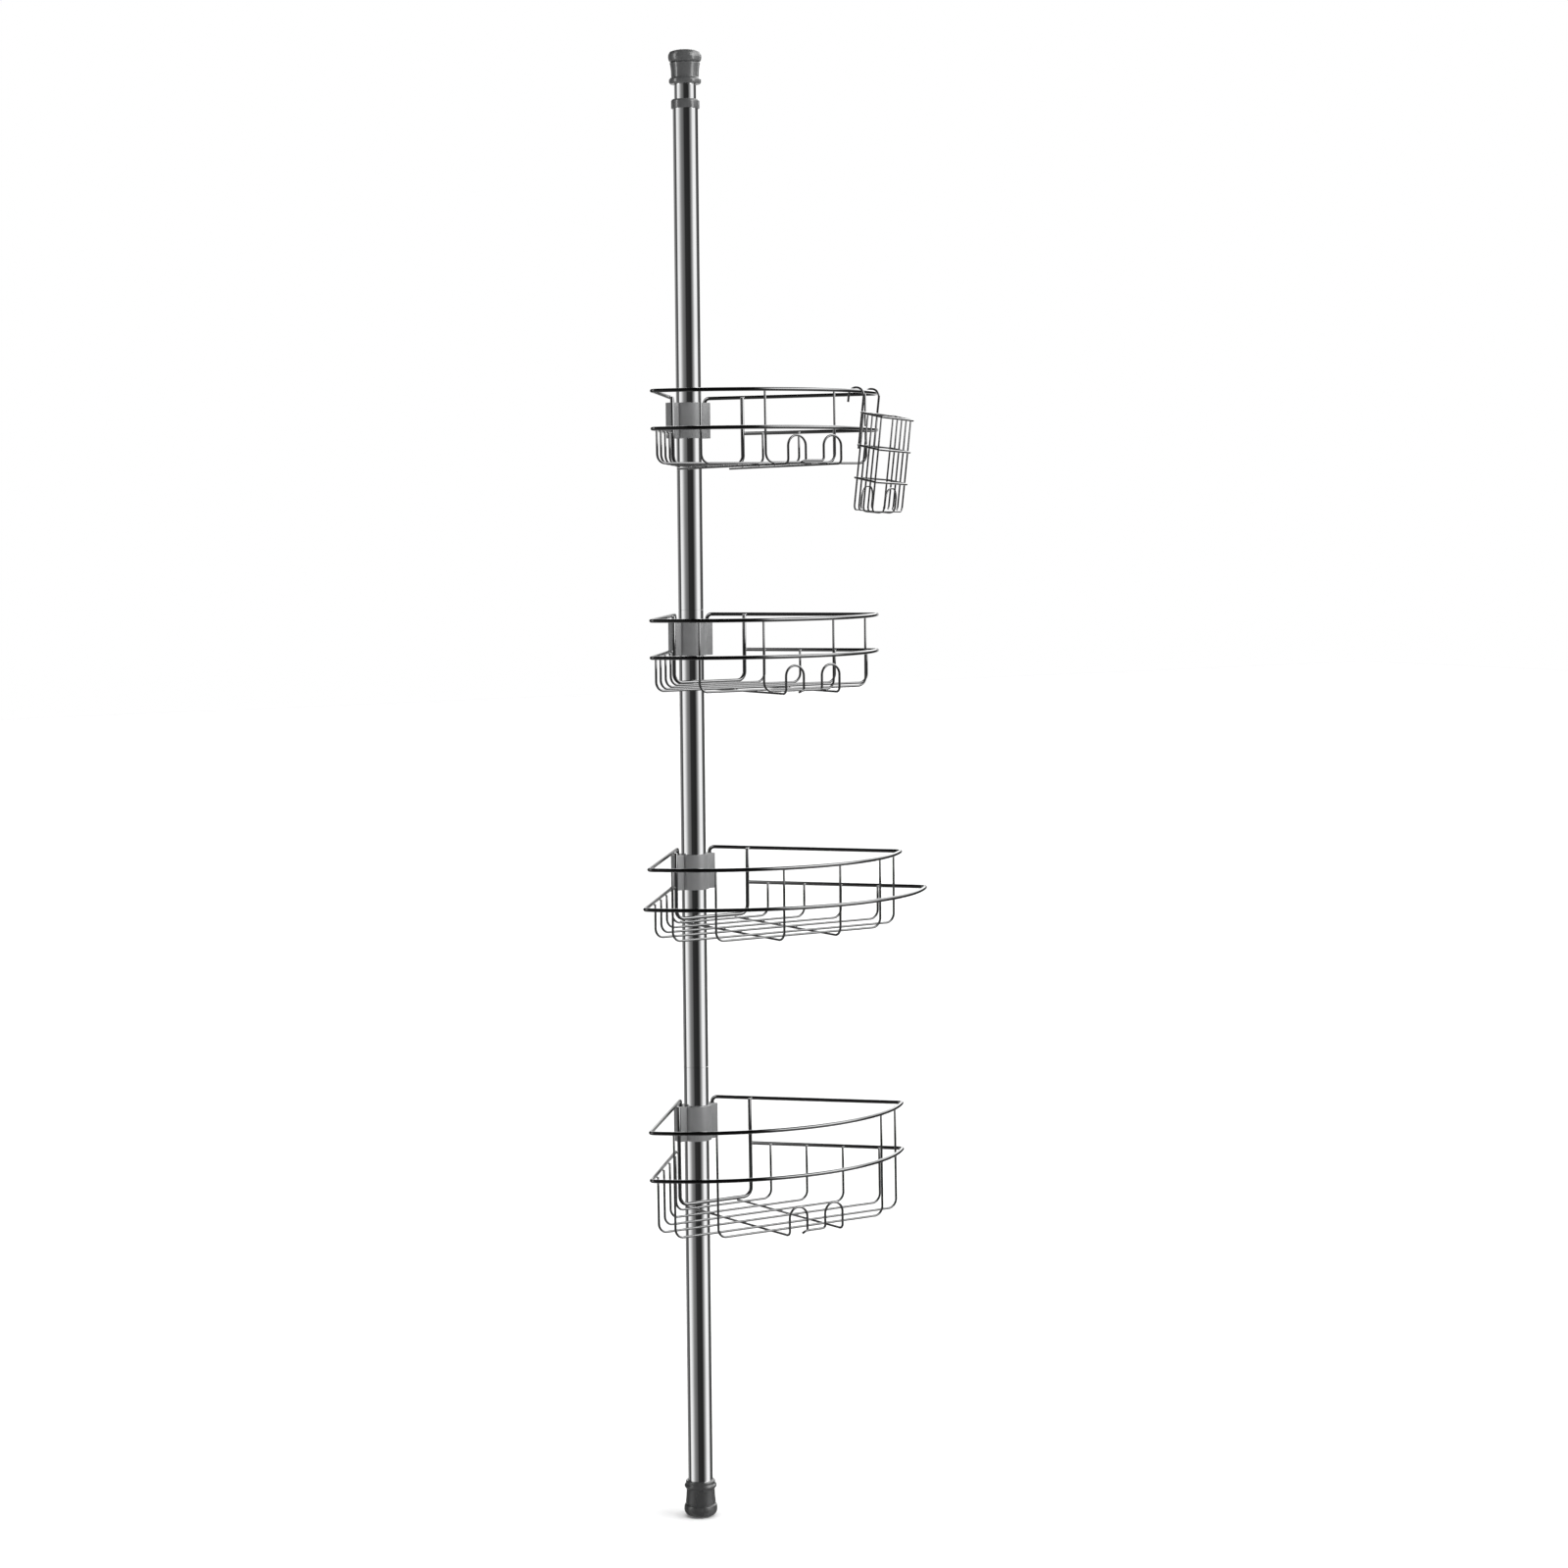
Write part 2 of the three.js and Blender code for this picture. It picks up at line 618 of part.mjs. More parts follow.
["top", "middle", "lower"].forEach((level, i) => {
  const ring = basketRing(-RING_DROP - i * RING_STEP);
  add(basket, "hanging_" + level + "_ring", ring, CHROME);
});
add(basket, "hanging_wire_cage", basketCage(), CHROME);
add(basket, "hanging_hook_left", basketHook(-HOOK_SPREAD), CHROME);
add(basket, "hanging_hook_right", basketHook(HOOK_SPREAD), CHROME);

export default group;
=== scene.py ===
# Looks of the corner shower caddy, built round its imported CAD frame. Metres, +Z up the pole.
import json
import math

import bmesh
import bpy
from mathutils import Euler, Matrix, Vector

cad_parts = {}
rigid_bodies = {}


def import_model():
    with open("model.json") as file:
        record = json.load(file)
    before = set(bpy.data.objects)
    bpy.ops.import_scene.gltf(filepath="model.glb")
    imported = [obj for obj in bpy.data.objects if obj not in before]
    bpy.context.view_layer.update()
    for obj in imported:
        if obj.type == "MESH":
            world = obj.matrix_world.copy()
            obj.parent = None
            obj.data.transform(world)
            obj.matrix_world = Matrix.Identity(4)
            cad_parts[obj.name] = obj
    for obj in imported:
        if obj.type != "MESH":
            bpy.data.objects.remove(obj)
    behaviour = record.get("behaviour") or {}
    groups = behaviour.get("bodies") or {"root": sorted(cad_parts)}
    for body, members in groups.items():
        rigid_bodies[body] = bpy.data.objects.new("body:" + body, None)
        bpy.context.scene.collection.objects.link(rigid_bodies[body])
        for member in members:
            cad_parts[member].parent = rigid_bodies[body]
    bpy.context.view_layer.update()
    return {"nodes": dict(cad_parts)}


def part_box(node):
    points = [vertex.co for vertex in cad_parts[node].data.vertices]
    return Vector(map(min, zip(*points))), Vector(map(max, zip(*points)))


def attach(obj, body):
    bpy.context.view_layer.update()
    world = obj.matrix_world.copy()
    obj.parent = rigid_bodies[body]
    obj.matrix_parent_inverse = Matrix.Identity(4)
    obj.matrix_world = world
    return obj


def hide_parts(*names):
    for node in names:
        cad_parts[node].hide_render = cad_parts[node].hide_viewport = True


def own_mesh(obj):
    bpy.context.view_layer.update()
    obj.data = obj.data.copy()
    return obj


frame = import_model()
MM = 0.001

# ---- camera: where it stands, where it looks and its lens ----
CAMERA_AZIMUTH = math.radians(-32.1156)
CAMERA_DISTANCE = 3.5601
CAMERA_HEIGHT = 1.03915
CAMERA_PAN = math.radians(1.4984)
CAMERA_PITCH = math.radians(4.4804)
CAMERA_ROLL = math.radians(-0.5231)
CAMERA_LENS = 80.28  # focal length in millimetres
SENSOR_WIDTH = 36

# ---- sizes in millimetres, the same as the CAD part's ----
GAP = 0.3
TUBE_R = 12.7
TUBE_WALL = 1.0
INNER_TUBE_R = 11.0
SOCKET_R = TUBE_R + GAP  # bore of the pieces that the pole stands in or that stand round it
SLIDE_R = INNER_TUBE_R + GAP
SPRING_R = 8.4
SPRING_WIRE_R = 0.95
SPRING_TURNS = 8
THICK_R = 1.9
THIN_R = 1.15
SMALL_RING_R = 1.1
SMALL_WIRE_R = 0.9
WELDED = 1.8  # centre distance of two thin wires fused across each other
PASSING = 2 * THIN_R + GAP  # centre distance of two thin wires that pass each other
SIDE_WIRES = 4
UPRIGHT_X = 33.0  # the two plain uprights of the shelf without hooks
CLAMP_R = 15.5
CLAMP_BORE_R = 14.3
EAR_END = 23.5
EAR_FRONT = -5.0
EAR_BACK = 7.5
LEG_X = 19.2  # each leg of a rim stands in its ear at this distance from the pole's axis
LEG_DEPTH = 30.0  # length of a leg inside its ear
LEG_BEND = 5.0
CORNER_BEND = 8.0
FLOOR_BEND = 9.0
FRAME_Y = 34.6
FRAME_LIFT = 1.4  # back frame above the floor wires
LENGTHWISE_Y = 8 - FRAME_Y  # back ends of the lengthwise wires
HOOK_HEIGHT = 24.5
HOOK_OUTER_X = 31.0
HOOK_INNER_X = 10.5
HOOK_LINK_LIFT = 3.0  # the link between the hooks runs this far above the lengthwise wires
WIDE = (149.4, 155.3, 222.4)  # corner half width, corner depth, front depth
NARROW = (133.0, 140.5, 207.0)
FLANGE = (166.3, 174.6, 251.8)
NARROW_FLOOR = (50.5, 80, 108.5, 134.5, 171, 198)
WIDE_FLOOR = (50.5, 80, 109.5, 139, 168.7, 193)
# rim, ring and floor are heights from the top of the shelf's clamp; swivel and droop are degrees
SHELVES = (
    dict(rim=4.3, ring=-31.9, floor=-64.8, plan=NARROW, ring_plan=NARROW,
         floor_y=NARROW_FLOOR, hook_y=222, swivel=0.72, droop=-0.68),
    dict(rim=5.5, ring=-30.3, floor=-62.8, plan=NARROW, ring_plan=NARROW,
         floor_y=NARROW_FLOOR, hook_y=222, swivel=-0.29, droop=0.09),
    dict(rim=6.3, ring=-29.2, floor=-62.2, plan=WIDE, ring_plan=FLANGE,
         floor_y=WIDE_FLOOR, hook_y=None, swivel=0.11, droop=0.34),
    dict(rim=6.5, ring=-40.3, floor=-95.7, plan=WIDE, ring_plan=WIDE,
         floor_y=WIDE_FLOOR, hook_y=219, swivel=-0.33, droop=-0.73),
)

# ---- finer detail, which only the looks have, in millimetres ----
SEAM = 0.1  # hairline left between two lengths of the pole
TUBE_EASE = 0.12
SLEEVE_EASE = 0.3
CLAMP_EASE = 0.45
EAR_BEVEL = 1.3
EAR_HOLE_R = 2.45
BEAD_R = 0.95
FRAME_BEAD_R = 1.25
LINK_BEAD_R = 1.35
BEAD_DROP = 0.5  # weld beads sit this far under the wire they join to


# ======== materials ========
class Nodes:
    """A small helper that adds and links nodes in one tree."""

    def __init__(self, tree):
        self.tree = tree

    def add(self, kind, **settings):
        node = self.tree.nodes.new(kind)
        for key, value in settings.items():
            setattr(node, key, value)
        return node

    def link(self, source, target):
        self.tree.links.new(source, target)

    def noise(self, scale, detail=3.0, roughness=0.55, stretch=(1, 1, 1)):
        place = self.add("ShaderNodeTexCoord")
        mapping = self.add("ShaderNodeMapping")
        mapping.inputs["Scale"].default_value = stretch
        texture = self.add("ShaderNodeTexNoise")
        texture.inputs["Scale"].default_value = scale
        texture.inputs["Detail"].default_value = detail
        texture.inputs["Roughness"].default_value = roughness
        self.link(place.outputs["Object"], mapping.inputs["Vector"])
        self.link(mapping.outputs["Vector"], texture.inputs["Vector"])
        return texture.outputs["Fac"]

    def ramp(self, source, *stops):
        node = self.add("ShaderNodeValToRGB")
        ramp = node.color_ramp
        while len(ramp.elements) < len(stops):
            ramp.elements.new(1.0)
        for element, (position, color) in zip(ramp.elements, stops):
            element.position = position
            element.color = (*color, 1.0) if len(color) == 3 else color
        self.link(source, node.inputs["Fac"])
        return node.outputs["Color"]

    def span(self, source, low, high, from_low=0.3, from_high=0.7):
        node = self.add("ShaderNodeMapRange")
        node.inputs["From Min"].default_value = from_low
        node.inputs["From Max"].default_value = from_high
        node.inputs["To Min"].default_value = low
        node.inputs["To Max"].default_value = high
        self.link(source, node.inputs["Value"])
        return node.outputs["Result"]

    def mixed(self, share, a, b):
        node = self.add("ShaderNodeMix", data_type="RGBA")
        self.link(share, node.inputs["Factor"])
        self.link(a, node.inputs[6])
        self.link(b, node.inputs[7])
        return node.outputs[2]

    def bump(self, source, strength, distance, under=None):
        node = self.add("ShaderNodeBump")
        node.inputs["Strength"].default_value = strength
        node.inputs["Distance"].default_value = distance
        self.link(source, node.inputs["Height"])
        if under is not None:
            self.link(under, node.inputs["Normal"])
        return node.outputs["Normal"]


def shader(name):
    """A new material, its node helper and its principled shader."""
    material = bpy.data.materials.new(name)
    material.use_nodes = True
    nodes = Nodes(material.node_tree)
    principled = material.node_tree.nodes["Principled BSDF"]
    return material, nodes, principled


def grey(level, tint=0.0):
    return (level * (1 - tint), level, level * (1 + tint))


def chrome_material(name, smear_scale, rough, brightness=1.0):
    """Bright plate: a clean mirror with faint water marks and a slightly uneven polish; brightness scales the
    whole base colour down.
    """
    material, nodes, principled = shader(name)
    principled.inputs["Metallic"].default_value = 1.0
    marks = nodes.noise(smear_scale, detail=5, stretch=(1, 1, 0.35))
    fine = nodes.noise(smear_scale * 9, detail=4)
    shades = ((0.3, 0.86), (0.5, 0.91), (0.72, 0.94))
    color = nodes.ramp(marks, *[(spot, grey(level * brightness, 0.004)) for spot, level in shades])
    nodes.link(color, principled.inputs["Base Color"])
    nodes.link(nodes.span(marks, *rough), principled.inputs["Roughness"])
    nodes.link(nodes.bump(fine, 0.03, 0.00005), principled.inputs["Normal"])
    return material


def steel_material(name):
    """Plain drawn steel: fine lines along the piece and a duller sheen."""
    material, nodes, principled = shader(name)
    principled.inputs["Metallic"].default_value = 1.0
    lines = nodes.noise(900, detail=2, stretch=(1, 1, 0.03))
    color = nodes.ramp(lines, (0.3, grey(0.42, 0.01)), (0.7, grey(0.6, 0.01)))
    nodes.link(color, principled.inputs["Base Color"])
    nodes.link(nodes.span(lines, 0.28, 0.42), principled.inputs["Roughness"])
    nodes.link(nodes.bump(lines, 0.15, 0.0001), principled.inputs["Normal"])
    return material


def moulded_material(name, shades, grain_mm, roughness, bump, tint=0.01):
    """Moulded plastic or rubber: fine spark grain over slow colour and gloss variation."""
    material, nodes, principled = shader(name)
    slow = nodes.noise(55, detail=4)
    grain = nodes.add("ShaderNodeTexVoronoi")
    place = nodes.add("ShaderNodeTexCoord")
    nodes.link(place.outputs["Object"], grain.inputs["Vector"])
    grain.inputs["Scale"].default_value = 1000 / grain_mm
    color = nodes.ramp(slow, (0.3, grey(shades[0], tint)), (0.7, grey(shades[1], tint)))
    nodes.link(color, principled.inputs["Base Color"])
    nodes.link(nodes.span(slow, roughness - 0.05, roughness + 0.06), principled.inputs["Roughness"])
    wide = nodes.bump(nodes.noise(300, detail=3), bump * 0.5, 0.0002)
    nodes.link(nodes.bump(grain.outputs["Distance"], bump, 0.00008, wide), principled.inputs["Normal"])
    principled.inputs["IOR"].default_value = 1.49
    return material


POLE_CHROME = chrome_material("pole_chrome", smear_scale=26, rough=(0.04, 0.075))
# The wires take the pole's chrome with its base colour darkened to 0.13: painted shade, so the thin wires
# read dark between their bright reflections.
SHADED_WIRE_CHROME = chrome_material("shaded_wire_chrome", smear_scale=90, rough=(0.05, 0.1), brightness=0.13)
WELD_STEEL = chrome_material("weld_nickel", smear_scale=700, rough=(0.18, 0.3), brightness=0.24)
PLAIN_STEEL = steel_material("plain_steel")
CLAMP_GREY = moulded_material("clamp_grey", (0.14, 0.16), grain_mm=0.35, roughness=0.42, bump=0.1)
CAP_GREY = moulded_material("cap_grey", (0.07, 0.08), grain_mm=0.35, roughness=0.18, bump=0.05)
BUSH_GREY = moulded_material("bush_grey", (0.42, 0.47), grain_mm=0.4, roughness=0.45, bump=0.12)
PAD_RUBBER = moulded_material("pad_rubber", (0.07, 0.08), grain_mm=0.5, roughness=0.21, bump=0.05)
FOOT_RUBBER = moulded_material("foot_rubber", (0.034, 0.042), grain_mm=0.5, roughness=0.28, bump=0.08)
MOULDED = (CLAMP_GREY, CAP_GREY, BUSH_GREY, PAD_RUBBER, FOOT_RUBBER)


# ======== mesh tools ========
def at(x, y, z):
    return Vector((x, y, z))


UPWARD = at(0, 0, 1)
ACROSS = at(1, 0, 0)
ON_AXIS = 1e-6  # a radius up to this counts as a point on the axis


def bent(corners, bends, step=0.13):
    """Rounds the corners of an open polyline; bends[i] is the radius at vertex i, 0 for none."""
    path = [corners[0]]
    for i in range(1, len(corners) - 1):
        here = corners[i]
        back = corners[i - 1] - here
        ahead = corners[i + 1] - here
        room = min(back.length, ahead.length)
        back.normalize()
        ahead.normalize()
        half = back.angle(ahead) / 2
        turn = math.pi - 2 * half
        if not bends[i] or turn < 0.01:
            path.append(here)
            continue
        reach = min(bends[i] / math.tan(half), room * 0.499)
        radius = reach * math.tan(half)
        centre = here + (back + ahead).normalized() * (radius / math.sin(half))
        start = here + back * reach - centre
        end = here + ahead * reach - centre
        steps = max(3, math.ceil(turn / step))
        for k in range(steps + 1):
            share = k / steps
            a = math.sin((1 - share) * turn) / math.sin(turn)
            b = math.sin(share * turn) / math.sin(turn)
            path.append(centre + start * a + end * b)
    path.append(corners[-1])
    return path


def rings_along(path, radius):
    """Centre, tangent and radius of each ring of a round wire, with eased ends."""
    ease = radius * 0.35
    steps = ((0, 0.55), (0.3, 0.86), (1, 1))  # share of the ease, share of the radius
    first = (path[1] - path[0]).normalized()
    last = (path[-1] - path[-2]).normalized()
    spots = [(path[0] + first * ease * along, first, radius * width) for along, width in steps]
    for i in range(1, len(path) - 1):
        tangent = (path[i] - path[i - 1]).normalized() + (path[i + 1] - path[i]).normalized()
        spots.append((path[i], tangent.normalized(), radius))
    spots += [(path[-1] - last * ease * along, last, radius * width) for along, width in reversed(steps)]
    return spots


def sweep(mesh, path, radius, sides=14):
    """Adds a round wire along a path to a bmesh, without twist."""
    spots = rings_along(path, radius)
    tangent = spots[0][1]
    across = tangent.orthogonal().normalized()
    before = None
    rings = []
    for centre, here, r in spots:
        if before is not None:
            across = before.rotation_difference(here) @ across
        before = here
        across = (across - here * across.dot(here)).normalized()
        other = here.cross(across)
        ring = []
        for k in range(sides):
            angle = 2 * math.pi * k / sides
            ring.append(mesh.verts.new(centre + (across * math.cos(angle) + other * math.sin(angle)) * r))
        rings.append(ring)
    for a, b in zip(rings, rings[1:]):
        for k in range(sides):
            n = (k + 1) % sides
            mesh.faces.new((a[k], a[n], b[n], b[k]))
    mesh.faces.new(list(reversed(rings[0])))
    mesh.faces.new(rings[-1])


def wire(path, radius, sides=14):
    """A new bmesh with one round wire in it."""
    mesh = bmesh.new()
    sweep(mesh, path, radius, sides)
    return mesh


def weld(mesh, centre, radius, along, squash=0.8, stretch=1.15):
    """Adds a small fused bead, longer in one direction, to a bmesh."""
    turn = Vector((0, 0, 1)).rotation_difference(along).to_matrix().to_4x4()
    size = Matrix.Diagonal((squash, squash, stretch, 1))
    matrix = Matrix.Translation(centre) @ turn @ size
    made = bmesh.ops.create_icosphere(mesh, subdivisions=2, radius=radius, matrix=matrix)
    for vertex in made["verts"]:
        for face in vertex.link_faces:
            face.material_index = 1


def turned(outline, segments=96):
    """A turned piece about Z from a closed or axis-to-axis outline of (radius, height) points."""
    mesh = bmesh.new()
    columns = []
    for k in range(segments):
        angle = 2 * math.pi * k / segments
        columns.append([
            mesh.verts.new((r * math.cos(angle), r * math.sin(angle), z)) if r > ON_AXIS else None
            for r, z in outline
        ])
    poles = [mesh.verts.new((0, 0, z)) if r <= ON_AXIS else None for r, z in outline]
    closed = poles[0] is None and poles[-1] is None
    last = len(outline) if closed else len(outline) - 1
    for k in range(segments):
        a, b = columns[k], columns[(k + 1) % segments]
        for i in range(last):
            j = (i + 1) % len(outline)
            corners = [a[i] or poles[i], b[i] or poles[i], b[j] or poles[j], a[j] or poles[j]]
            unique = []
            for vertex in corners:
                if vertex not in unique:
                    unique.append(vertex)
            if len(unique) > 2:
                mesh.faces.new(unique)
    bmesh.ops.recalc_face_normals(mesh, faces=mesh.faces)
    return mesh


def rounded(outline, radii, step=0.25):
    """Rounds the corners of a turned outline; radii[i] belongs to point i."""
    path = bent([at(r, 0, z) for r, z in outline], radii, step)
    return [(p.x, p.z) for p in path]


def piece(name, mesh, body, materials, nodes, sharp=38, mirrored=True):
    """Finishes a bmesh in millimetres as a named piece that rides on a body and replaces CAD nodes.

    Thin wires aren't mirrored in the chrome round them, which keeps the pole's bands clean."""
    bmesh.ops.scale(mesh, vec=(MM, MM, MM), verts=mesh.verts)
    data = bpy.data.meshes.new(name)
    mesh.to_mesh(data)
    mesh.free()
    for material in materials:
        data.materials.append(material)
    data.shade_smooth()
    data.set_sharp_from_angle(angle=math.radians(sharp))
    obj = bpy.data.objects.new(name, data)
    obj.visible_glossy = mirrored
    bpy.context.scene.collection.objects.link(obj)
    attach(obj, body)
    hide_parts(*nodes)
    return obj


def wire_piece(node, mesh, body, place):
    """Finishes a chrome wire piece with weld beads, which replaces one CAD node."""
    bmesh.ops.transform(mesh, matrix=place, verts=mesh.verts)
    piece(node + "_wire", mesh, body, [SHADED_WIRE_CHROME, WELD_STEEL], [node], mirrored=False)


def turned_piece(name, outline, radii, segments, body, material, node):
    """Finishes a moulded piece that is turned from an outline with rounded corners."""
    mesh = turned(rounded(outline, radii), segments)
    piece(name, mesh, body, [material], [node], sharp=50)


def heights(node):
    """Lowest and highest point of a CAD node in millimetres."""
    low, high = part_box(node)
    return low.z / MM, high.z / MM


# ======== shelf wirework ========
def front_arc(plan):
    """Radius, half angle and centre depth of a ring's bowed front."""
    corner_x, corner_y, front_y = plan
    bow = front_y - corner_y
    radius = (corner_x ** 2 + bow ** 2) / (2 * bow)
    return radius, math.asin(corner_x / radius), front_y - radius


def side_x(plan, depth):
    """Half width between the straight sides at a depth from the pole's axis."""
    return LEG_X + (plan[0] - LEG_X) * depth / plan[1]


def side_inset(plan, wire_r):
    """How far inside a slanted side the centre of an inner wire stands."""
    slope = (plan[0] - LEG_X) / plan[1]
    return (THICK_R + wire_r + GAP) * math.hypot(1, slope)


def inner_arc(plan):
    """Radius and centre depth of the arc just inside the bowed front, where the uprights stand."""
    radius, half, centre_y = front_arc(plan)
    return radius * math.cos(half / 12) - THICK_R - THIN_R - GAP, centre_y


def arc_x(plan, depth):
    """Half width between two uprights that stand at the same depth on the inner arc."""
    radius, centre_y = inner_arc(plan)
    return math.sqrt(radius ** 2 - (depth - centre_y) ** 2)


def arc_y(plan, x):
    """Depth of the inner arc at a distance x to the side."""
    radius, centre_y = inner_arc(plan)
    return centre_y + math.sqrt(radius ** 2 - x ** 2)


def ring_path(plan, start_depth, z, foot=None):
    """A ring from left to right; foot is the height its two legs reach down to, if it has legs."""
    radius, half, centre_y = front_arc(plan)
    trim = 0.055  # share of the bow given up to the corner bends
    steps = 44  # straight pieces in the bow
    bow = []
    for i in range(steps + 1):
        angle = half * (2 * i / steps - 1) * (1 - trim)
        bow.append(at(radius * math.sin(angle), -centre_y - radius * math.cos(angle), z))
    start_x = side_x(plan, start_depth)
    corners = [at(-start_x, -start_depth, z), at(-plan[0], -plan[1], z), *bow,
               at(plan[0], -plan[1], z), at(start_x, -start_depth, z)]
    if foot is not None:
        corners = [at(-start_x, -start_depth, foot), *corners, at(start_x, -start_depth, foot)]
    bends = [0] * len(corners)
    edge = 1 if foot is None else 2
    bends[edge] = bends[-1 - edge] = CORNER_BEND
    if foot is not None:
        bends[1] = bends[-2] = LEG_BEND
    return bent(corners, bends)


def u_path(x, depth, low, high, bend=FLOOR_BEND):
    """A wire that comes down on the left, crosses the floor and goes up on the right."""
    corners = [at(-x, -depth, high), at(-x, -depth, low), at(x, -depth, low), at(x, -depth, high)]
    return bent(corners, [0, bend, bend, 0])


def hook_paths(shelf, floor):
    """The lengthwise wires, their two hooks, and the link between the hooks with its short tail."""
    low = floor - PASSING
    high = floor + HOOK_HEIGHT
    y = -shelf["hook_y"]
    loop = (HOOK_OUTER_X - HOOK_INNER_X) / 2
    link = low + HOOK_LINK_LIFT
    right = bent(
        [at(HOOK_OUTER_X, LENGTHWISE_Y, low), at(HOOK_OUTER_X, y, low), at(HOOK_OUTER_X, y, high),
         at(HOOK_INNER_X, y, high), at(HOOK_INNER_X, y, link), at(-HOOK_INNER_X - 1, y, link),
         at(-HOOK_INNER_X - 6, y, link - 2.2)],
        [0, 5, loop, loop, 3, 6, 0])
    left = bent(
        [at(-HOOK_OUTER_X, LENGTHWISE_Y, low), at(-HOOK_OUTER_X, y, low), at(-HOOK_OUTER_X, y, high),
         at(-HOOK_INNER_X, y, high), at(-HOOK_INNER_X, y, link)],
        [0, 5, loop, loop, 0])
    return [right, left]


def shelf_matrix(shelf, rim):
    """Turn about the pole and droop about the rim's level on the pole's axis."""
    turn = Euler((math.radians(shelf["droop"]), 0, math.radians(shelf["swivel"])), "XYZ").to_matrix().to_4x4()
    lift = Matrix.Translation((0, 0, rim))
    return lift @ turn @ lift.inverted()


def lengthwise_x(shelf):
    """The two lengthwise wires under the floor lie at these places."""
    x = HOOK_OUTER_X if shelf["hook_y"] else UPRIGHT_X
    return (-x, x)


def back_frame(shelf, rim, ring, floor):
    """The thick wire behind the others, welded to the rim and the ring."""
    plan = shelf["plan"]
    x = side_x(plan, FRAME_Y) - side_inset(plan, THICK_R)
    mesh = wire(u_path(x, FRAME_Y, floor + FRAME_LIFT, rim), THICK_R, 20)
    for side in (-1, 1):
        outer = side * (x + THICK_R + GAP / 2)
        weld(mesh, at(outer, -FRAME_Y, rim - 0.4), FRAME_BEAD_R, UPWARD)
        weld(mesh, at(outer, -FRAME_Y, ring), FRAME_BEAD_R, UPWARD)
    return mesh


def side_wire(shelf, depth, ring, floor):
    """A floor wire that rises inside the middle ring on both sides."""
    plan = shelf["ring_plan"]
    x = side_x(plan, depth) - side_inset(plan, THIN_R)
    mesh = wire(u_path(x, depth, floor, ring), THIN_R)
    for side in (-1, 1):
        weld(mesh, at(side * (x + THIN_R), -depth, ring - BEAD_DROP), BEAD_R, UPWARD)
    for run in lengthwise_x(shelf):
        weld(mesh, at(run, -depth, floor - PASSING / 2), 0.85, ACROSS, 1)
    return mesh


def front_upright(mesh, x, plan, rim, low):
    """A lengthwise wire under the floor that rises at the front to the rim."""
    front = arc_y(plan, x)
    corners = [at(x, LENGTHWISE_Y, low), at(x, -front, low), at(x, -front, rim)]
    sweep(mesh, bent(corners, [0, FLOOR_BEND, 0]), THIN_R)
    weld(mesh, at(x, -front - THIN_R, rim - BEAD_DROP), BEAD_R, UPWARD)


def front_cage(shelf, rim, floor):
    """The two foremost floor wires, which rise to the rim, on the two lengthwise wires."""
    plan = shelf["plan"]
    low = floor - PASSING
    bed = low + WELDED
    mesh = bmesh.new()
    for depth in shelf["floor_y"][SIDE_WIRES:]:
        x = arc_x(plan, depth)
        sweep(mesh, u_path(x, depth, bed, rim), THIN_R)
        for side in (-1, 1):
            weld(mesh, at(side * (x + THIN_R), -depth - 0.6, rim - BEAD_DROP), BEAD_R, UPWARD)
        for run in lengthwise_x(shelf):
            weld(mesh, at(run, -depth, bed - WELDED / 2), BEAD_R, ACROSS, 1)
    if shelf["hook_y"]:
        for path in hook_paths(shelf, floor):
            sweep(mesh, path, THIN_R)
        weld(mesh, at(-HOOK_INNER_X, -shelf["hook_y"], low + HOOK_LINK_LIFT), LINK_BEAD_R, ACROSS, 1)
    else:
        for x in lengthwise_x(shelf):
            front_upright(mesh, x, plan, rim, low)
    return mesh


def build_shelf(number, shelf):
    """One shelf: its wires, which stand at the shelf's own small angle, and the clamp that carries them."""
    name = f"shelf{number}"
    low, top = heights(name + "_clamp")
    rim, ring, floor = (top + shelf[level] for level in ("rim", "ring", "floor"))
    wires = {
        "top_rim": wire(ring_path(shelf["plan"], 0, rim, top - LEG_DEPTH), THICK_R, 20),
        "middle_ring": wire(ring_path(shelf["ring_plan"], FRAME_Y - 4, ring), THICK_R, 20),
        "back_frame": back_frame(shelf, rim, ring, floor),
    }
    for k, depth in enumerate(shelf["floor_y"][:SIDE_WIRES]):
        wires[f"side_wire_{k + 1}"] = side_wire(shelf, depth, ring, floor)
    wires["front_cage"] = front_cage(shelf, rim, floor)
    for part, mesh in wires.items():
        wire_piece(f"{name}_{part}", mesh, name, shelf_matrix(shelf, rim))
    build_clamp(name, low, top)
    build_bush(name)


# ======== clamps ========
def clamp_outline(segments=40):
    """Round body with an ear on each side, anticlockwise from the right ear's front root."""
    front = math.asin(-EAR_FRONT / CLAMP_R)
    rear = math.asin(EAR_BACK / CLAMP_R)
    flank = EAR_END - EAR_BEVEL
    ear = [(CLAMP_R * math.cos(front), EAR_FRONT), (flank, EAR_FRONT), (EAR_END, EAR_FRONT + EAR_BEVEL),
           (EAR_END, EAR_BACK - EAR_BEVEL), (flank, EAR_BACK), (CLAMP_R * math.cos(rear), EAR_BACK)]
    points = list(ear)
    for k in range(1, segments):
        angle = rear + (math.pi - 2 * rear) * k / segments
        points.append((CLAMP_R * math.cos(angle), CLAMP_R * math.sin(angle)))
    points += [(-x, y) for x, y in reversed(ear)]
    for k in range(1, segments):
        angle = math.pi + front + (math.pi - 2 * front) * k / segments
        points.append((CLAMP_R * math.cos(angle), CLAMP_R * math.sin(angle)))
    return points


def circle(x, radius, segments):
    angles = [2 * math.pi * k / segments for k in range(segments)]
    return [(x + radius * math.cos(angle), radius * math.sin(angle)) for angle in angles]


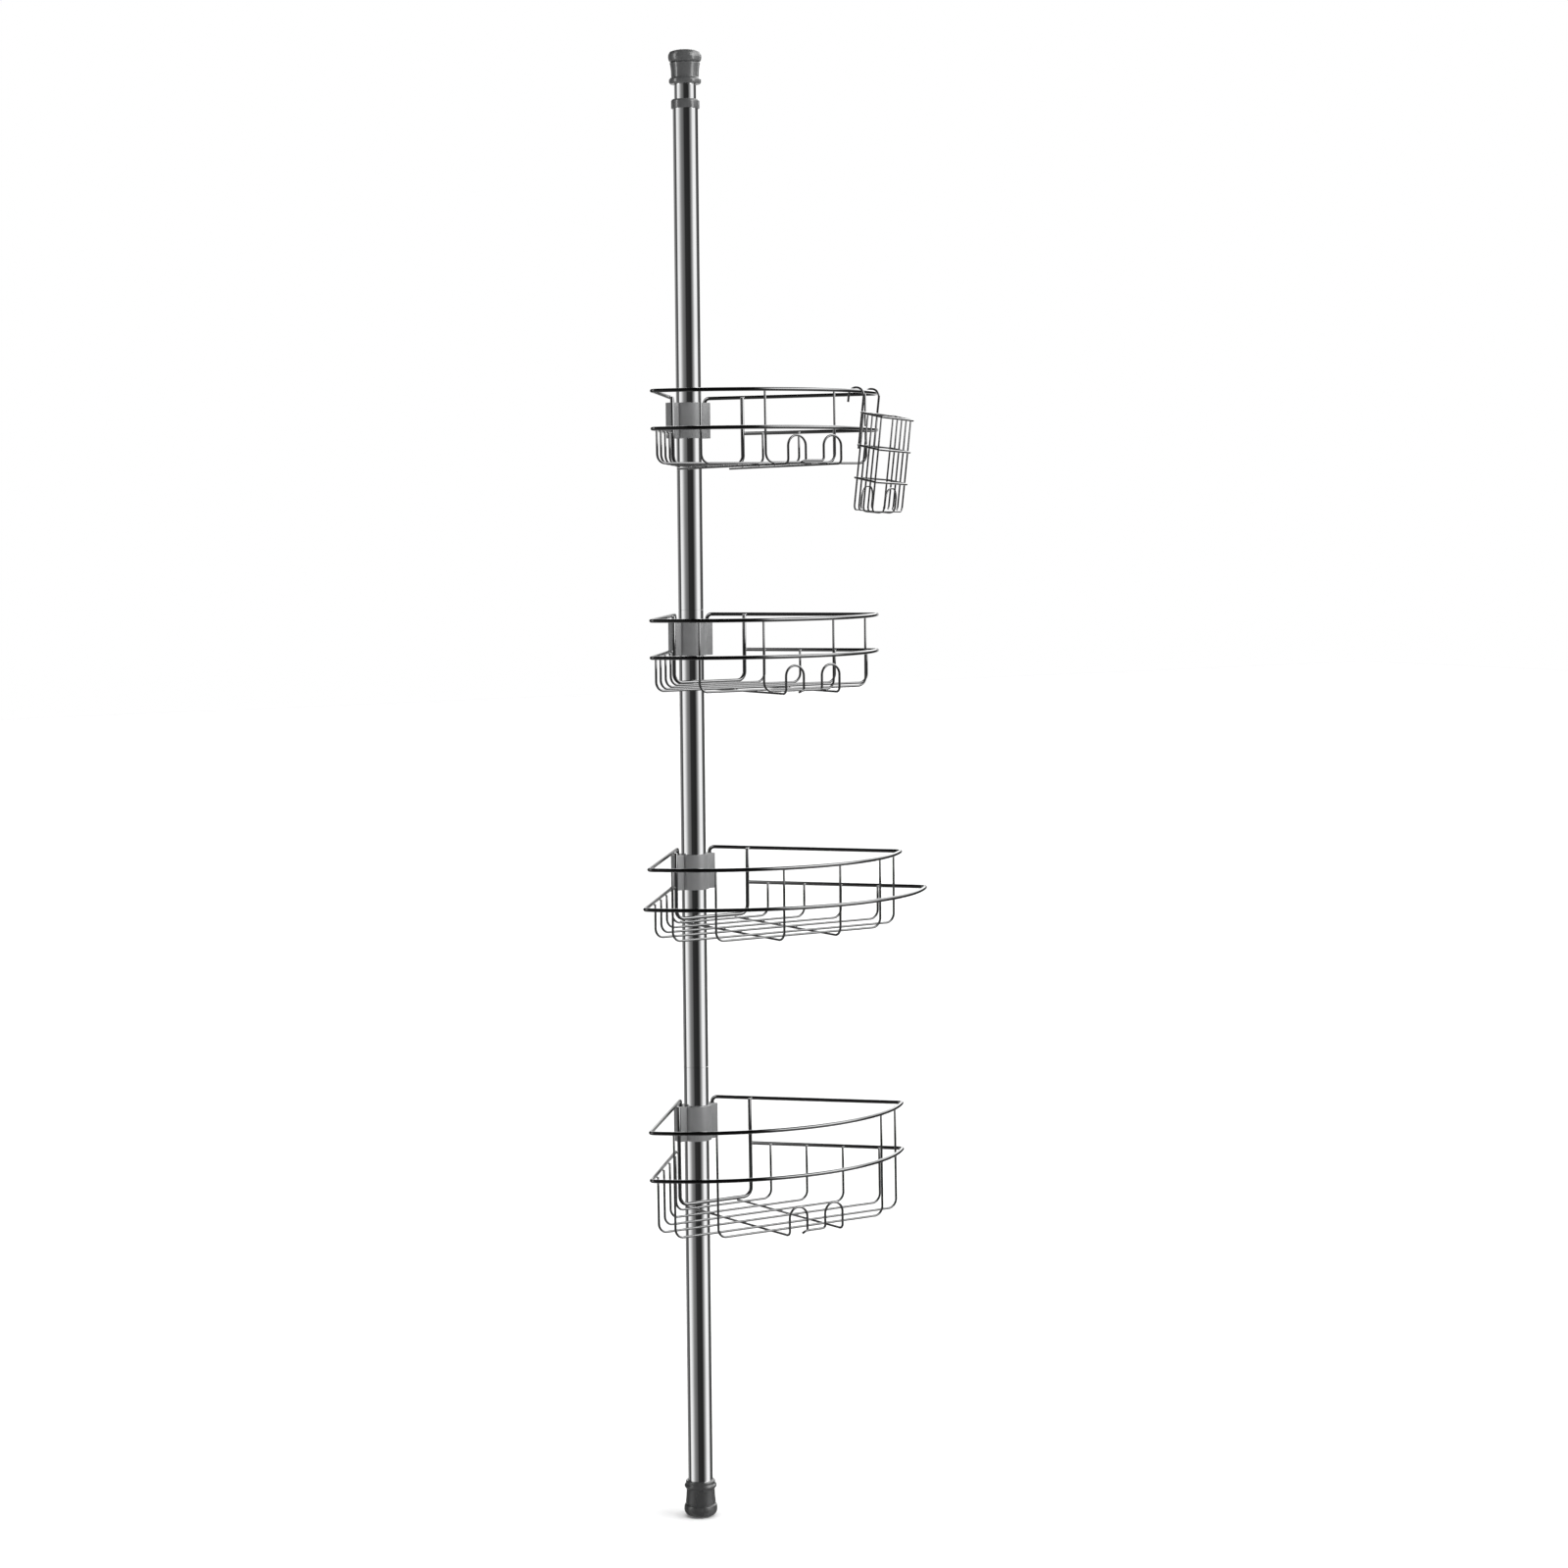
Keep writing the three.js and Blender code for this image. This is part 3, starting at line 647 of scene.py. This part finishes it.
def build_clamp(name, low, top):
    """Moulded clamp: an outline with three holes, extruded with eased edges."""
    curve = bpy.data.curves.new(name + "_clamp_outline", "CURVE")
    curve.dimensions = "2D"
    curve.fill_mode = "BOTH"
    curve.extrude = ((top - low) / 2 - CLAMP_EASE) * MM
    curve.bevel_depth = CLAMP_EASE * MM
    curve.bevel_resolution = 2
    curve.offset = -CLAMP_EASE * MM
    loops = [clamp_outline(), circle(0, CLAMP_BORE_R, 96),
             circle(-LEG_X, EAR_HOLE_R, 28), circle(LEG_X, EAR_HOLE_R, 28)]
    for loop in loops:
        spline = curve.splines.new("POLY")
        spline.points.add(len(loop) - 1)
        for point, (x, y) in zip(spline.points, loop):
            point.co = (x * MM, y * MM, 0, 1)
        spline.use_cyclic_u = True
    holder = bpy.data.objects.new(name + "_clamp_outline", curve)
    bpy.context.scene.collection.objects.link(holder)
    graph = bpy.context.evaluated_depsgraph_get()
    data = bpy.data.meshes.new_from_object(holder.evaluated_get(graph))
    bpy.data.objects.remove(holder)
    mesh = bmesh.new()
    mesh.from_mesh(data)
    bpy.data.meshes.remove(data)
    bmesh.ops.remove_doubles(mesh, verts=mesh.verts, dist=1e-6)
    bmesh.ops.recalc_face_normals(mesh, faces=mesh.faces)
    bmesh.ops.scale(mesh, vec=(1 / MM,) * 3, verts=mesh.verts)
    bmesh.ops.translate(mesh, vec=(0, 0, (low + top) / 2), verts=mesh.verts)
    piece(name + "_clamp_body", mesh, name, [CLAMP_GREY], [name + "_clamp"], sharp=30)


def eased_wall(inner, outer, low, high, ease):
    """Outline of a tube's wall with its two outer edges taken off."""
    return [(inner, low), (outer - ease, low), (outer, low + ease), (outer, high - ease),
            (outer - ease, high), (inner, high)]


def split_sleeve(inner, outer, low, top, slit=0.09, segments=90):
    """A sleeve with a slit at the back; slit is half its width in radians."""
    outline = eased_wall(inner, outer, low, top, SLEEVE_EASE)
    mesh = bmesh.new()
    columns = []
    for k in range(segments + 1):
        angle = math.pi / 2 + slit + (2 * math.pi - 2 * slit) * k / segments
        c, s = math.cos(angle), math.sin(angle)
        columns.append([mesh.verts.new((r * c, r * s, z)) for r, z in outline])
    count = len(columns[0])
    for a, b in zip(columns, columns[1:]):
        for i in range(count):
            j = (i + 1) % count
            mesh.faces.new((a[i], b[i], b[j], a[j]))
    mesh.faces.new(columns[0])
    mesh.faces.new(list(reversed(columns[-1])))
    bmesh.ops.recalc_face_normals(mesh, faces=mesh.faces)
    return mesh


def build_bush(name):
    """The split bush between the pole and the clamp's bore, which slides without turning."""
    mesh = split_sleeve(SOCKET_R, CLAMP_BORE_R - GAP, *heights(name + "_split_bush"))
    piece(name + "_bush", mesh, "slider" + name[-1], [BUSH_GREY], [name + "_split_bush"])


# ======== pole ========
def tube(name, outer, inner, body, reach=0.0):
    """A plated tube with eased ends; reach lengthens it into the gaps above and below it."""
    low, high = heights(name)
    outline = eased_wall(inner, outer, low - reach, high + reach, TUBE_EASE)
    piece(name + "_plated", turned(outline, 128), body, [POLE_CHROME], [name])


def build_tubes():
    """The pole's three lengths and the thinner tube that slides out of the top one."""
    for name in ("lower_tube", "middle_tube", "upper_tube"):
        tube(name, TUBE_R, TUBE_R - TUBE_WALL, "pole", (GAP - SEAM) / 2)
    tube("inner_tube", INNER_TUBE_R, INNER_TUBE_R - TUBE_WALL, "tension_head")


def build_foot():
    """The rubber shoe under the pole, with a flared foot and a bead at its neck."""
    outline = [(0, 0), (11.6, 0), (15.4, 2.5), (17, 5.6), (17.15, 9), (16.6, 12.2), (15.2, 13.2),
               (15.6, 15), (14.9, 21), (14.6, 28), (15.2, 29.8), (16.6, 31.2), (16.6, 33), (15.2, 34.6),
               (15.1, 37), (14.4, 38), (SOCKET_R, 38), (SOCKET_R, 8), (0, 8)]
    radii = [0, 3, 4, 4, 4, 1, 0.35, 1, 8, 4, 1, 1, 1, 0.6, 0.8, 0.5, 0.3, 0, 0]
    turned_piece("foot_shoe", outline, radii, 120, "pole", FOOT_RUBBER, "foot_pad")


def build_collar():
    """The collar over the upper tube's end, with a lip that closes round the inner tube."""
    low, high = heights("tube_collar")
    lip = heights("upper_tube")[1] + GAP
    outline = [(SOCKET_R, low), (14.3, low), (14.3, high - 1.5), (13.4, high),
               (SLIDE_R, high), (SLIDE_R, lip), (SOCKET_R, lip)]
    radii = [0, 0.5, 0.8, 0.5, 0.2, 0, 0]
    turned_piece("tube_end_collar", outline, radii, 96, "pole", CAP_GREY, "tube_collar")


def build_cap():
    """The cap over the inner tube's end, with a bead round its mouth and a waist above it."""
    low, high = heights("top_cap")
    roof = heights("inner_tube")[1] + GAP
    outline = [(0, roof), (SLIDE_R, roof), (SLIDE_R, low), (15, low), (16.2, low + 1.6), (16.2, low + 4.4),
               (15.2, low + 6), (13.9, low + 6.6), (14.1, low + 13.4), (14.8, low + 18.8), (15.5, high),
               (0, high)]
    radii = [0, 0, 0, 1, 1, 1, 0.6, 0.35, 5, 5, 0.8, 0]
    turned_piece("cap_body", outline, radii, 120, "tension_head", CAP_GREY, "top_cap")


def build_pad():
    """The domed rubber pad that presses on the ceiling."""
    low, high = heights("top_pad")
    outline = [(0, low), (14.6, low), (16.2, low + 1.6), (16.85, low + 4.6), (16.6, high - 4),
               (15.4, high - 1.4), (13, high), (0, high)]
    radii = [0, 1, 1.5, 3, 3, 1.6, 1.2, 0]
    turned_piece("cap_pad", outline, radii, 120, "tension_head", PAD_RUBBER, "top_pad")


def build_spring():
    """The compression spring under the inner tube; the coil is swept once at a fixed length, though the real
    spring shortens as the head is pushed down.
    """
    low, high = heights("tension_spring")
    steps = SPRING_TURNS * 36
    path = []
    for i in range(steps + 1):
        angle = 2 * math.pi * SPRING_TURNS * i / steps
        z = low + SPRING_WIRE_R + (high - low - 2 * SPRING_WIRE_R) * i / steps
        path.append(at(SPRING_R * math.cos(angle), SPRING_R * math.sin(angle), z))
    mesh = wire(path, SPRING_WIRE_R, 12)
    coil = piece("head_spring_coil", mesh, "pole", [PLAIN_STEEL], ["tension_spring"])
    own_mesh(coil)


# ======== hanging basket ========
RIM_ANGLE = 0.593  # place on the rim's bow, radians to the right of its middle
LEAN = 0.12  # radians that the basket's bottom swings in towards the pole
HOOK_SPREAD = 21.6  # half the distance between the hooks
HOOK_R = 7.8
HOOK_TAIL = 15.0
RING_DROP = 25.5  # top ring below the tops of the hooks
RING_STEP = 31.8
BASKET_LEFT = -32.4
BASKET_LENGTH = 90.0
BASKET_DEPTH = 23.5
BASKET_HEIGHT = 93.0  # top ring to floor wires
RING_DROOP = 0.11  # fall per mm outwards, as the rings stand a little askew on the cage
RING_SLOPE = 0.013  # fall per mm from the basket's left to its right
CAGE_LENGTHS = 5
ARCH_HALF = 15.2
ARCH_HEIGHT = 23.0
ARCH_UNDER = 1.5  # the arches' wires run this far under the cage's
FRONT_ARCH_SHIFT = 1.5
BACK_ARCH_SHIFT = -4.0
BASKET_RIGHT = BASKET_LEFT + BASKET_LENGTH
BASKET_MIDDLE = (BASKET_LEFT + BASKET_RIGHT) / 2
BASKET_BACK = -(HOOK_R + 2 * SMALL_RING_R + GAP)
BASKET_FRONT = BASKET_BACK - BASKET_DEPTH
MID_DEPTH = (BASKET_BACK + BASKET_FRONT) / 2
BASKET_FLOOR = -RING_DROP - BASKET_HEIGHT


def basket_matrix():
    """Place of the basket's own frame: X along the rim, -Y outwards, origin between the hooks' tops."""
    shelf = SHELVES[0]
    rim = heights("shelf1_clamp")[1] + shelf["rim"]
    radius, _, centre_y = front_arc(shelf["plan"])
    chord = math.sqrt(radius ** 2 - HOOK_SPREAD ** 2)
    spot = at(chord * math.sin(RIM_ANGLE), -centre_y - chord * math.cos(RIM_ANGLE),
              rim + THICK_R + SMALL_RING_R + GAP)
    return (shelf_matrix(shelf, rim) @ Matrix.Translation(spot) @ Matrix.Rotation(RIM_ANGLE, 4, "Z")
            @ Matrix.Rotation(LEAN, 4, "X"))


def on_ring(x, y, ring):
    """A point at the height of ring 0, 1 or 2, counted from the top."""
    fall = RING_DROOP * (MID_DEPTH - y) + RING_SLOPE * (x - BASKET_MIDDLE)
    return at(x, y, -RING_DROP - ring * RING_STEP - fall)


def basket_ring(ring):
    """A ring bent from one length, its ends welded at the middle of the back side."""
    plan = ((BASKET_MIDDLE + GAP / 2, BASKET_BACK), (BASKET_RIGHT, BASKET_BACK),
            (BASKET_RIGHT, BASKET_FRONT), (BASKET_LEFT, BASKET_FRONT), (BASKET_LEFT, BASKET_BACK),
            (BASKET_MIDDLE - GAP / 2, BASKET_BACK))
    corners = [on_ring(x, y, ring) for x, y in plan]
    mesh = wire(bent(corners, [0, 3, 3, 3, 3, 0]), SMALL_RING_R, 16)
    weld(mesh, on_ring(BASKET_MIDDLE, BASKET_BACK, ring), SMALL_RING_R * 1.12, ACROSS, 1)
    return mesh


def basket_arch(mesh, side, shift):
    """An arch inside one long side, on two wires that run under the cage's floor; side -1 is the front."""
    under = BASKET_FLOOR - ARCH_UNDER
    top = BASKET_FLOOR + ARCH_HEIGHT
    y = MID_DEPTH + side * (BASKET_DEPTH / 2 - 0.4)
    start, end = BASKET_MIDDLE + shift - ARCH_HALF, BASKET_MIDDLE + shift + ARCH_HALF
    corners = [at(BASKET_MIDDLE - ARCH_HALF, MID_DEPTH - side, under), at(start, y, under),
               at(start, y, top), at(end, y, top), at(end, y, under),
               at(BASKET_MIDDLE + ARCH_HALF, MID_DEPTH - side, under)]
    sweep(mesh, bent(corners, [0, 6, 12, 12, 6, 0]), SMALL_WIRE_R, 12)


def basket_cage():
    """Five lengthwise wires that rise inside the rings at both ends, and the two arches under them."""
    inset = SMALL_RING_R + SMALL_WIRE_R + GAP
    left, right = BASKET_LEFT + inset, BASKET_RIGHT - inset
    pitch = (BASKET_DEPTH - 2 * inset) / (CAGE_LENGTHS - 1)
    depths = [BASKET_BACK - inset - i * pitch for i in range(CAGE_LENGTHS)]
    mesh = bmesh.new()
    for y in depths:
        corners = [on_ring(left, y, 0), at(left, y, BASKET_FLOOR), at(right, y, BASKET_FLOOR),
                   on_ring(right, y, 0)]
        sweep(mesh, bent(corners, [0, 5, 5, 0]), SMALL_WIRE_R, 12)
        for ring in range(3):
            for x in (BASKET_LEFT + SMALL_RING_R + GAP / 2, BASKET_RIGHT - SMALL_RING_R - GAP / 2):
                weld(mesh, on_ring(x, y, ring), 0.8, UPWARD, 0.9)
    basket_arch(mesh, -1, FRONT_ARCH_SHIFT)
    basket_arch(mesh, 1, BACK_ARCH_SHIFT)
    for x in (BASKET_MIDDLE - ARCH_HALF, BASKET_MIDDLE + ARCH_HALF):
        for y in depths:
            weld(mesh, at(x, y, BASKET_FLOOR - ARCH_UNDER / 2), 0.75, ACROSS, 1)
    return mesh


def basket_hook(x):
    """A hook over the shelf's rim, welded behind the upper two rings."""
    corners = [at(x, -HOOK_R, -RING_DROP - RING_STEP - 2), at(x, -HOOK_R, 0), at(x, HOOK_R, 0),
               at(x, HOOK_R, -HOOK_TAIL)]
    mesh = wire(bent(corners, [0, HOOK_R, HOOK_R, 0]), SMALL_RING_R, 16)
    for ring in range(2):
        weld(mesh, on_ring(x, -HOOK_R - SMALL_RING_R - GAP / 2, ring), BEAD_R, UPWARD)
    return mesh


def build_hanging_basket():
    """The small basket that hangs by two hooks from the top shelf's rim."""
    wires = {
        "hanging_top_ring": basket_ring(0),
        "hanging_middle_ring": basket_ring(1),
        "hanging_lower_ring": basket_ring(2),
        "hanging_wire_cage": basket_cage(),
        "hanging_hook_left": basket_hook(-HOOK_SPREAD),
        "hanging_hook_right": basket_hook(HOOK_SPREAD),
    }
    for node, mesh in wires.items():
        wire_piece(node, mesh, "hanging_basket", basket_matrix())


build_tubes()
build_foot()
build_collar()
build_cap()
build_pad()
build_spring()
for index, settings in enumerate(SHELVES):
    build_shelf(index + 1, settings)
build_hanging_basket()

HIDDEN_NODES = (("lower_coupler", PLAIN_STEEL), ("upper_coupler", PLAIN_STEEL),
                ("spring_seat", BUSH_GREY), ("inner_tube_guide", BUSH_GREY))
for node, material in HIDDEN_NODES:
    slots = frame["nodes"][node].data.materials
    slots.clear()
    slots.append(material)


# ======== studio ========
def build_floor():
    """A plain pale floor, which the chrome doesn't mirror."""
    data = bpy.data.meshes.new("floor")
    size = 14.0  # half width in metres
    corners = [(-size, -size, 0), (size, -size, 0), (size, size, 0), (-size, size, 0)]
    data.from_pydata(corners, [], [(0, 1, 2, 3)])
    material, nodes, principled = shader("studio_floor")
    cloud = nodes.noise(1.4, detail=4)
    color = nodes.ramp(cloud, (0.3, grey(0.86)), (0.7, grey(0.89)))
    nodes.link(color, principled.inputs["Base Color"])
    nodes.link(nodes.span(cloud, 0.75, 0.85), principled.inputs["Roughness"])
    nodes.link(nodes.bump(nodes.noise(140, detail=3), 0.04, 0.001), principled.inputs["Normal"])
    data.materials.append(material)
    floor = bpy.data.objects.new("floor", data)
    floor.visible_glossy = False
    bpy.context.scene.collection.objects.link(floor)
    return floor


# Light level of the studio by bearing in degrees, where 0 is the camera's side and positive is to its right.
# Level rays meet LEVEL_BANDS, and the other rays take over at the heights in HIGH_FROM, ZENITH_FROM and
# FLOOR_FROM, which are sines of a ray's elevation. FAR_LIFT starts the high panels lower on the far side.
LEVEL_BANDS = ((-180, 0.8), (-163, 0.8), (-157, 0.12), (-150, 0.27), (-127, 0.25), (-120, 0.08), (-99, 0.07),
               (-93, 0.95), (-74, 0.9), (-62, 0.62), (-51, 0.33), (-41, 0.21), (-31, 0.165), (-21, 0.12),
               (-14, 0.03), (30, 0.02), (38, 0.1), (47, 0.26), (57, 0.5), (67, 0.95), (95, 1), (102, 0.3),
               (110, 0.1), (126, 0.07), (148, 0.03), (157, 0.04), (163, 0.8), (180, 0.8))
HIGH_BANDS = ((-180, 3), (-168, 3), (-160, 0.03), (-92, 0.03), (-88, 2.4), (-66, 2.4), (-62, 0.02),
              (36, 0.02), (46, 7), (96, 7), (106, 3), (180, 3))
ZENITH_BANDS = ((-180, 0.04), (-60, 0.02), (60, 0.02), (180, 0.04))
FLOOR_BANDS = ((-180, 0.5), (-160, 0.5), (-140, 0.08), (-105, 0.12), (-92, 0.65), (-66, 0.6), (-45, 0.14),
               (-15, 0.04), (32, 0.04), (50, 0.3), (67, 0.7), (96, 0.7), (115, 0.12), (150, 0.05), (165, 0.5),
               (180, 0.5))
HIGH_FROM = (0.17, 0.23)
ZENITH_FROM = (0.7, 0.79)
FLOOR_FROM = (-0.3, -0.38)
FAR_LIFT = ((-180, 0.03), (-168, 0.03), (-162, 0), (154, 0), (160, 0.03), (180, 0.03))
DIFFUSE_LEVEL = 0.22  # what the rough surfaces get from the studio all round


def build_surround():
    """Studio panels round the caddy: dark on the camera's side, with a tall bright screen on its right."""
    world = bpy.data.worlds.new("studio")
    bpy.context.scene.world = world
    world.use_nodes = True
    nodes = Nodes(world.node_tree)
    background = world.node_tree.nodes["Background"]
    background.inputs["Strength"].default_value = 1.0
    place = nodes.add("ShaderNodeTexCoord")
    turn = nodes.add("ShaderNodeVectorRotate", rotation_type="Z_AXIS")
    turn.inputs["Angle"].default_value = math.pi / 2 - CAMERA_AZIMUTH
    nodes.link(place.outputs["Generated"], turn.inputs["Vector"])
    split = nodes.add("ShaderNodeSeparateXYZ")
    nodes.link(turn.outputs["Vector"], split.inputs["Vector"])
    bearing = nodes.add("ShaderNodeMath", operation="ARCTAN2")
    nodes.link(split.outputs["Y"], bearing.inputs[0])
    nodes.link(split.outputs["X"], bearing.inputs[1])
    share = nodes.span(bearing.outputs[0], 0, 1, -math.pi, math.pi)

    def bands(levels):
        return nodes.ramp(share, *[((angle + 180) / 360, grey(level)) for angle, level in levels])

    def even(level):
        return bands(((-180, level), (180, level)))

    def reach(span, source=split.outputs["Z"]):
        node = nodes.add("ShaderNodeMapRange", interpolation_type="SMOOTHSTEP")
        node.inputs["From Min"].default_value = span[0]
        node.inputs["From Max"].default_value = span[1]
        nodes.link(source, node.inputs["Value"])
        return node.outputs["Result"]

    lifted = nodes.add("ShaderNodeMath", operation="ADD")
    nodes.link(split.outputs["Z"], lifted.inputs[0])
    nodes.link(bands(FAR_LIFT), lifted.inputs[1])
    final = nodes.mixed(reach(HIGH_FROM, lifted.outputs[0]), bands(LEVEL_BANDS), bands(HIGH_BANDS))
    final = nodes.mixed(reach(ZENITH_FROM), final, bands(ZENITH_BANDS))
    final = nodes.mixed(reach(FLOOR_FROM), final, bands(FLOOR_BANDS))
    seen = nodes.add("ShaderNodeLightPath")
    final = nodes.mixed(seen.outputs["Is Diffuse Ray"], final, even(DIFFUSE_LEVEL))
    final = nodes.mixed(seen.outputs["Is Camera Ray"], final, even(1))
    nodes.link(final, background.inputs["Color"])


def moulded_pieces():
    """The plastic and rubber pieces, which alone are lit by the softboxes."""
    lit = bpy.data.collections.new("moulded_pieces")
    for obj in bpy.context.scene.objects:
        if obj.type == "MESH" and obj.data.materials and obj.data.materials[0] in MOULDED:
            lit.objects.link(obj)
    return lit


SOFTBOXES = (  # name, place and size in metres, watts
    ("left_softbox", (-3.27, 0.94, 1.4), (0.6, 2.4), 32),
    ("rim_softbox", (3.4, 0.5, 1.4), (0.3, 2.4), 8),
    ("right_softbox", (1.7, -2.94, 1.4), (1.1, 2.4), 46),
)
SOFTBOX_TARGET = (0, 0, 1)


def softbox(name, place, size, power, lit):
    """A tall panel beside the caddy that lights only the given pieces and gives them their highlights."""
    light = bpy.data.lights.new(name, "AREA")
    light.shape = "RECTANGLE"
    light.size, light.size_y = size
    light.energy = power
    holder = bpy.data.objects.new(name, light)
    holder.location = place
    holder.rotation_mode = "QUATERNION"
    holder.rotation_quaternion = (Vector(SOFTBOX_TARGET) - Vector(place)).to_track_quat("-Z", "Y")
    holder.visible_camera = False
    holder.light_linking.receiver_collection = lit
    bpy.context.scene.collection.objects.link(holder)


def daylight(name, direction, strength, spread, only=None):
    """Very soft overhead light that the chrome doesn't mirror; only limits it to one object."""
    light = bpy.data.lights.new(name, "SUN")
    light.energy = strength
    light.angle = math.radians(spread)
    holder = bpy.data.objects.new(name, light)
    holder.rotation_mode = "QUATERNION"
    holder.rotation_quaternion = Vector(direction).to_track_quat("-Z", "Y")
    holder.visible_glossy = False
    if only is not None:
        lit = bpy.data.collections.new(name + "_lit")
        lit.objects.link(only)
        holder.light_linking.receiver_collection = lit
    bpy.context.scene.collection.objects.link(holder)


def build_camera():
    """The camera stands before the caddy, to its left and above its middle, and looks a little down."""
    camera = bpy.data.cameras.new("camera")
    camera.sensor_width = SENSOR_WIDTH
    camera.lens = CAMERA_LENS
    back = Vector((math.sin(CAMERA_AZIMUTH), -math.cos(CAMERA_AZIMUTH), 0))
    spot = back * CAMERA_DISTANCE + Vector((0, 0, CAMERA_HEIGHT))
    level = Matrix.Rotation(-CAMERA_PAN, 3, "Z") @ -back
    ahead = level * math.cos(CAMERA_PITCH) - Vector((0, 0, math.sin(CAMERA_PITCH)))
    right = ahead.cross(Vector((0, 0, 1))).normalized()
    up = right.cross(ahead)
    across = right * math.cos(CAMERA_ROLL) + up * math.sin(CAMERA_ROLL)
    upward = up * math.cos(CAMERA_ROLL) - right * math.sin(CAMERA_ROLL)
    matrix = Matrix((across, upward, -ahead)).transposed().to_4x4()
    matrix.translation = spot
    holder = bpy.data.objects.new("camera", camera)
    holder.matrix_world = matrix
    bpy.context.scene.collection.objects.link(holder)
    bpy.context.scene.camera = holder


floor_plane = build_floor()
build_surround()
daylight("floor_fill", (0.15, 0.1, -1), 2.4, 120, floor_plane)
daylight("overhead_fill", (0.3, 0.5, -1), 0.25, 120)
plastics = moulded_pieces()
for settings in SOFTBOXES:
    softbox(*settings, plastics)
build_camera()
bpy.context.scene.view_settings.view_transform = "Standard"
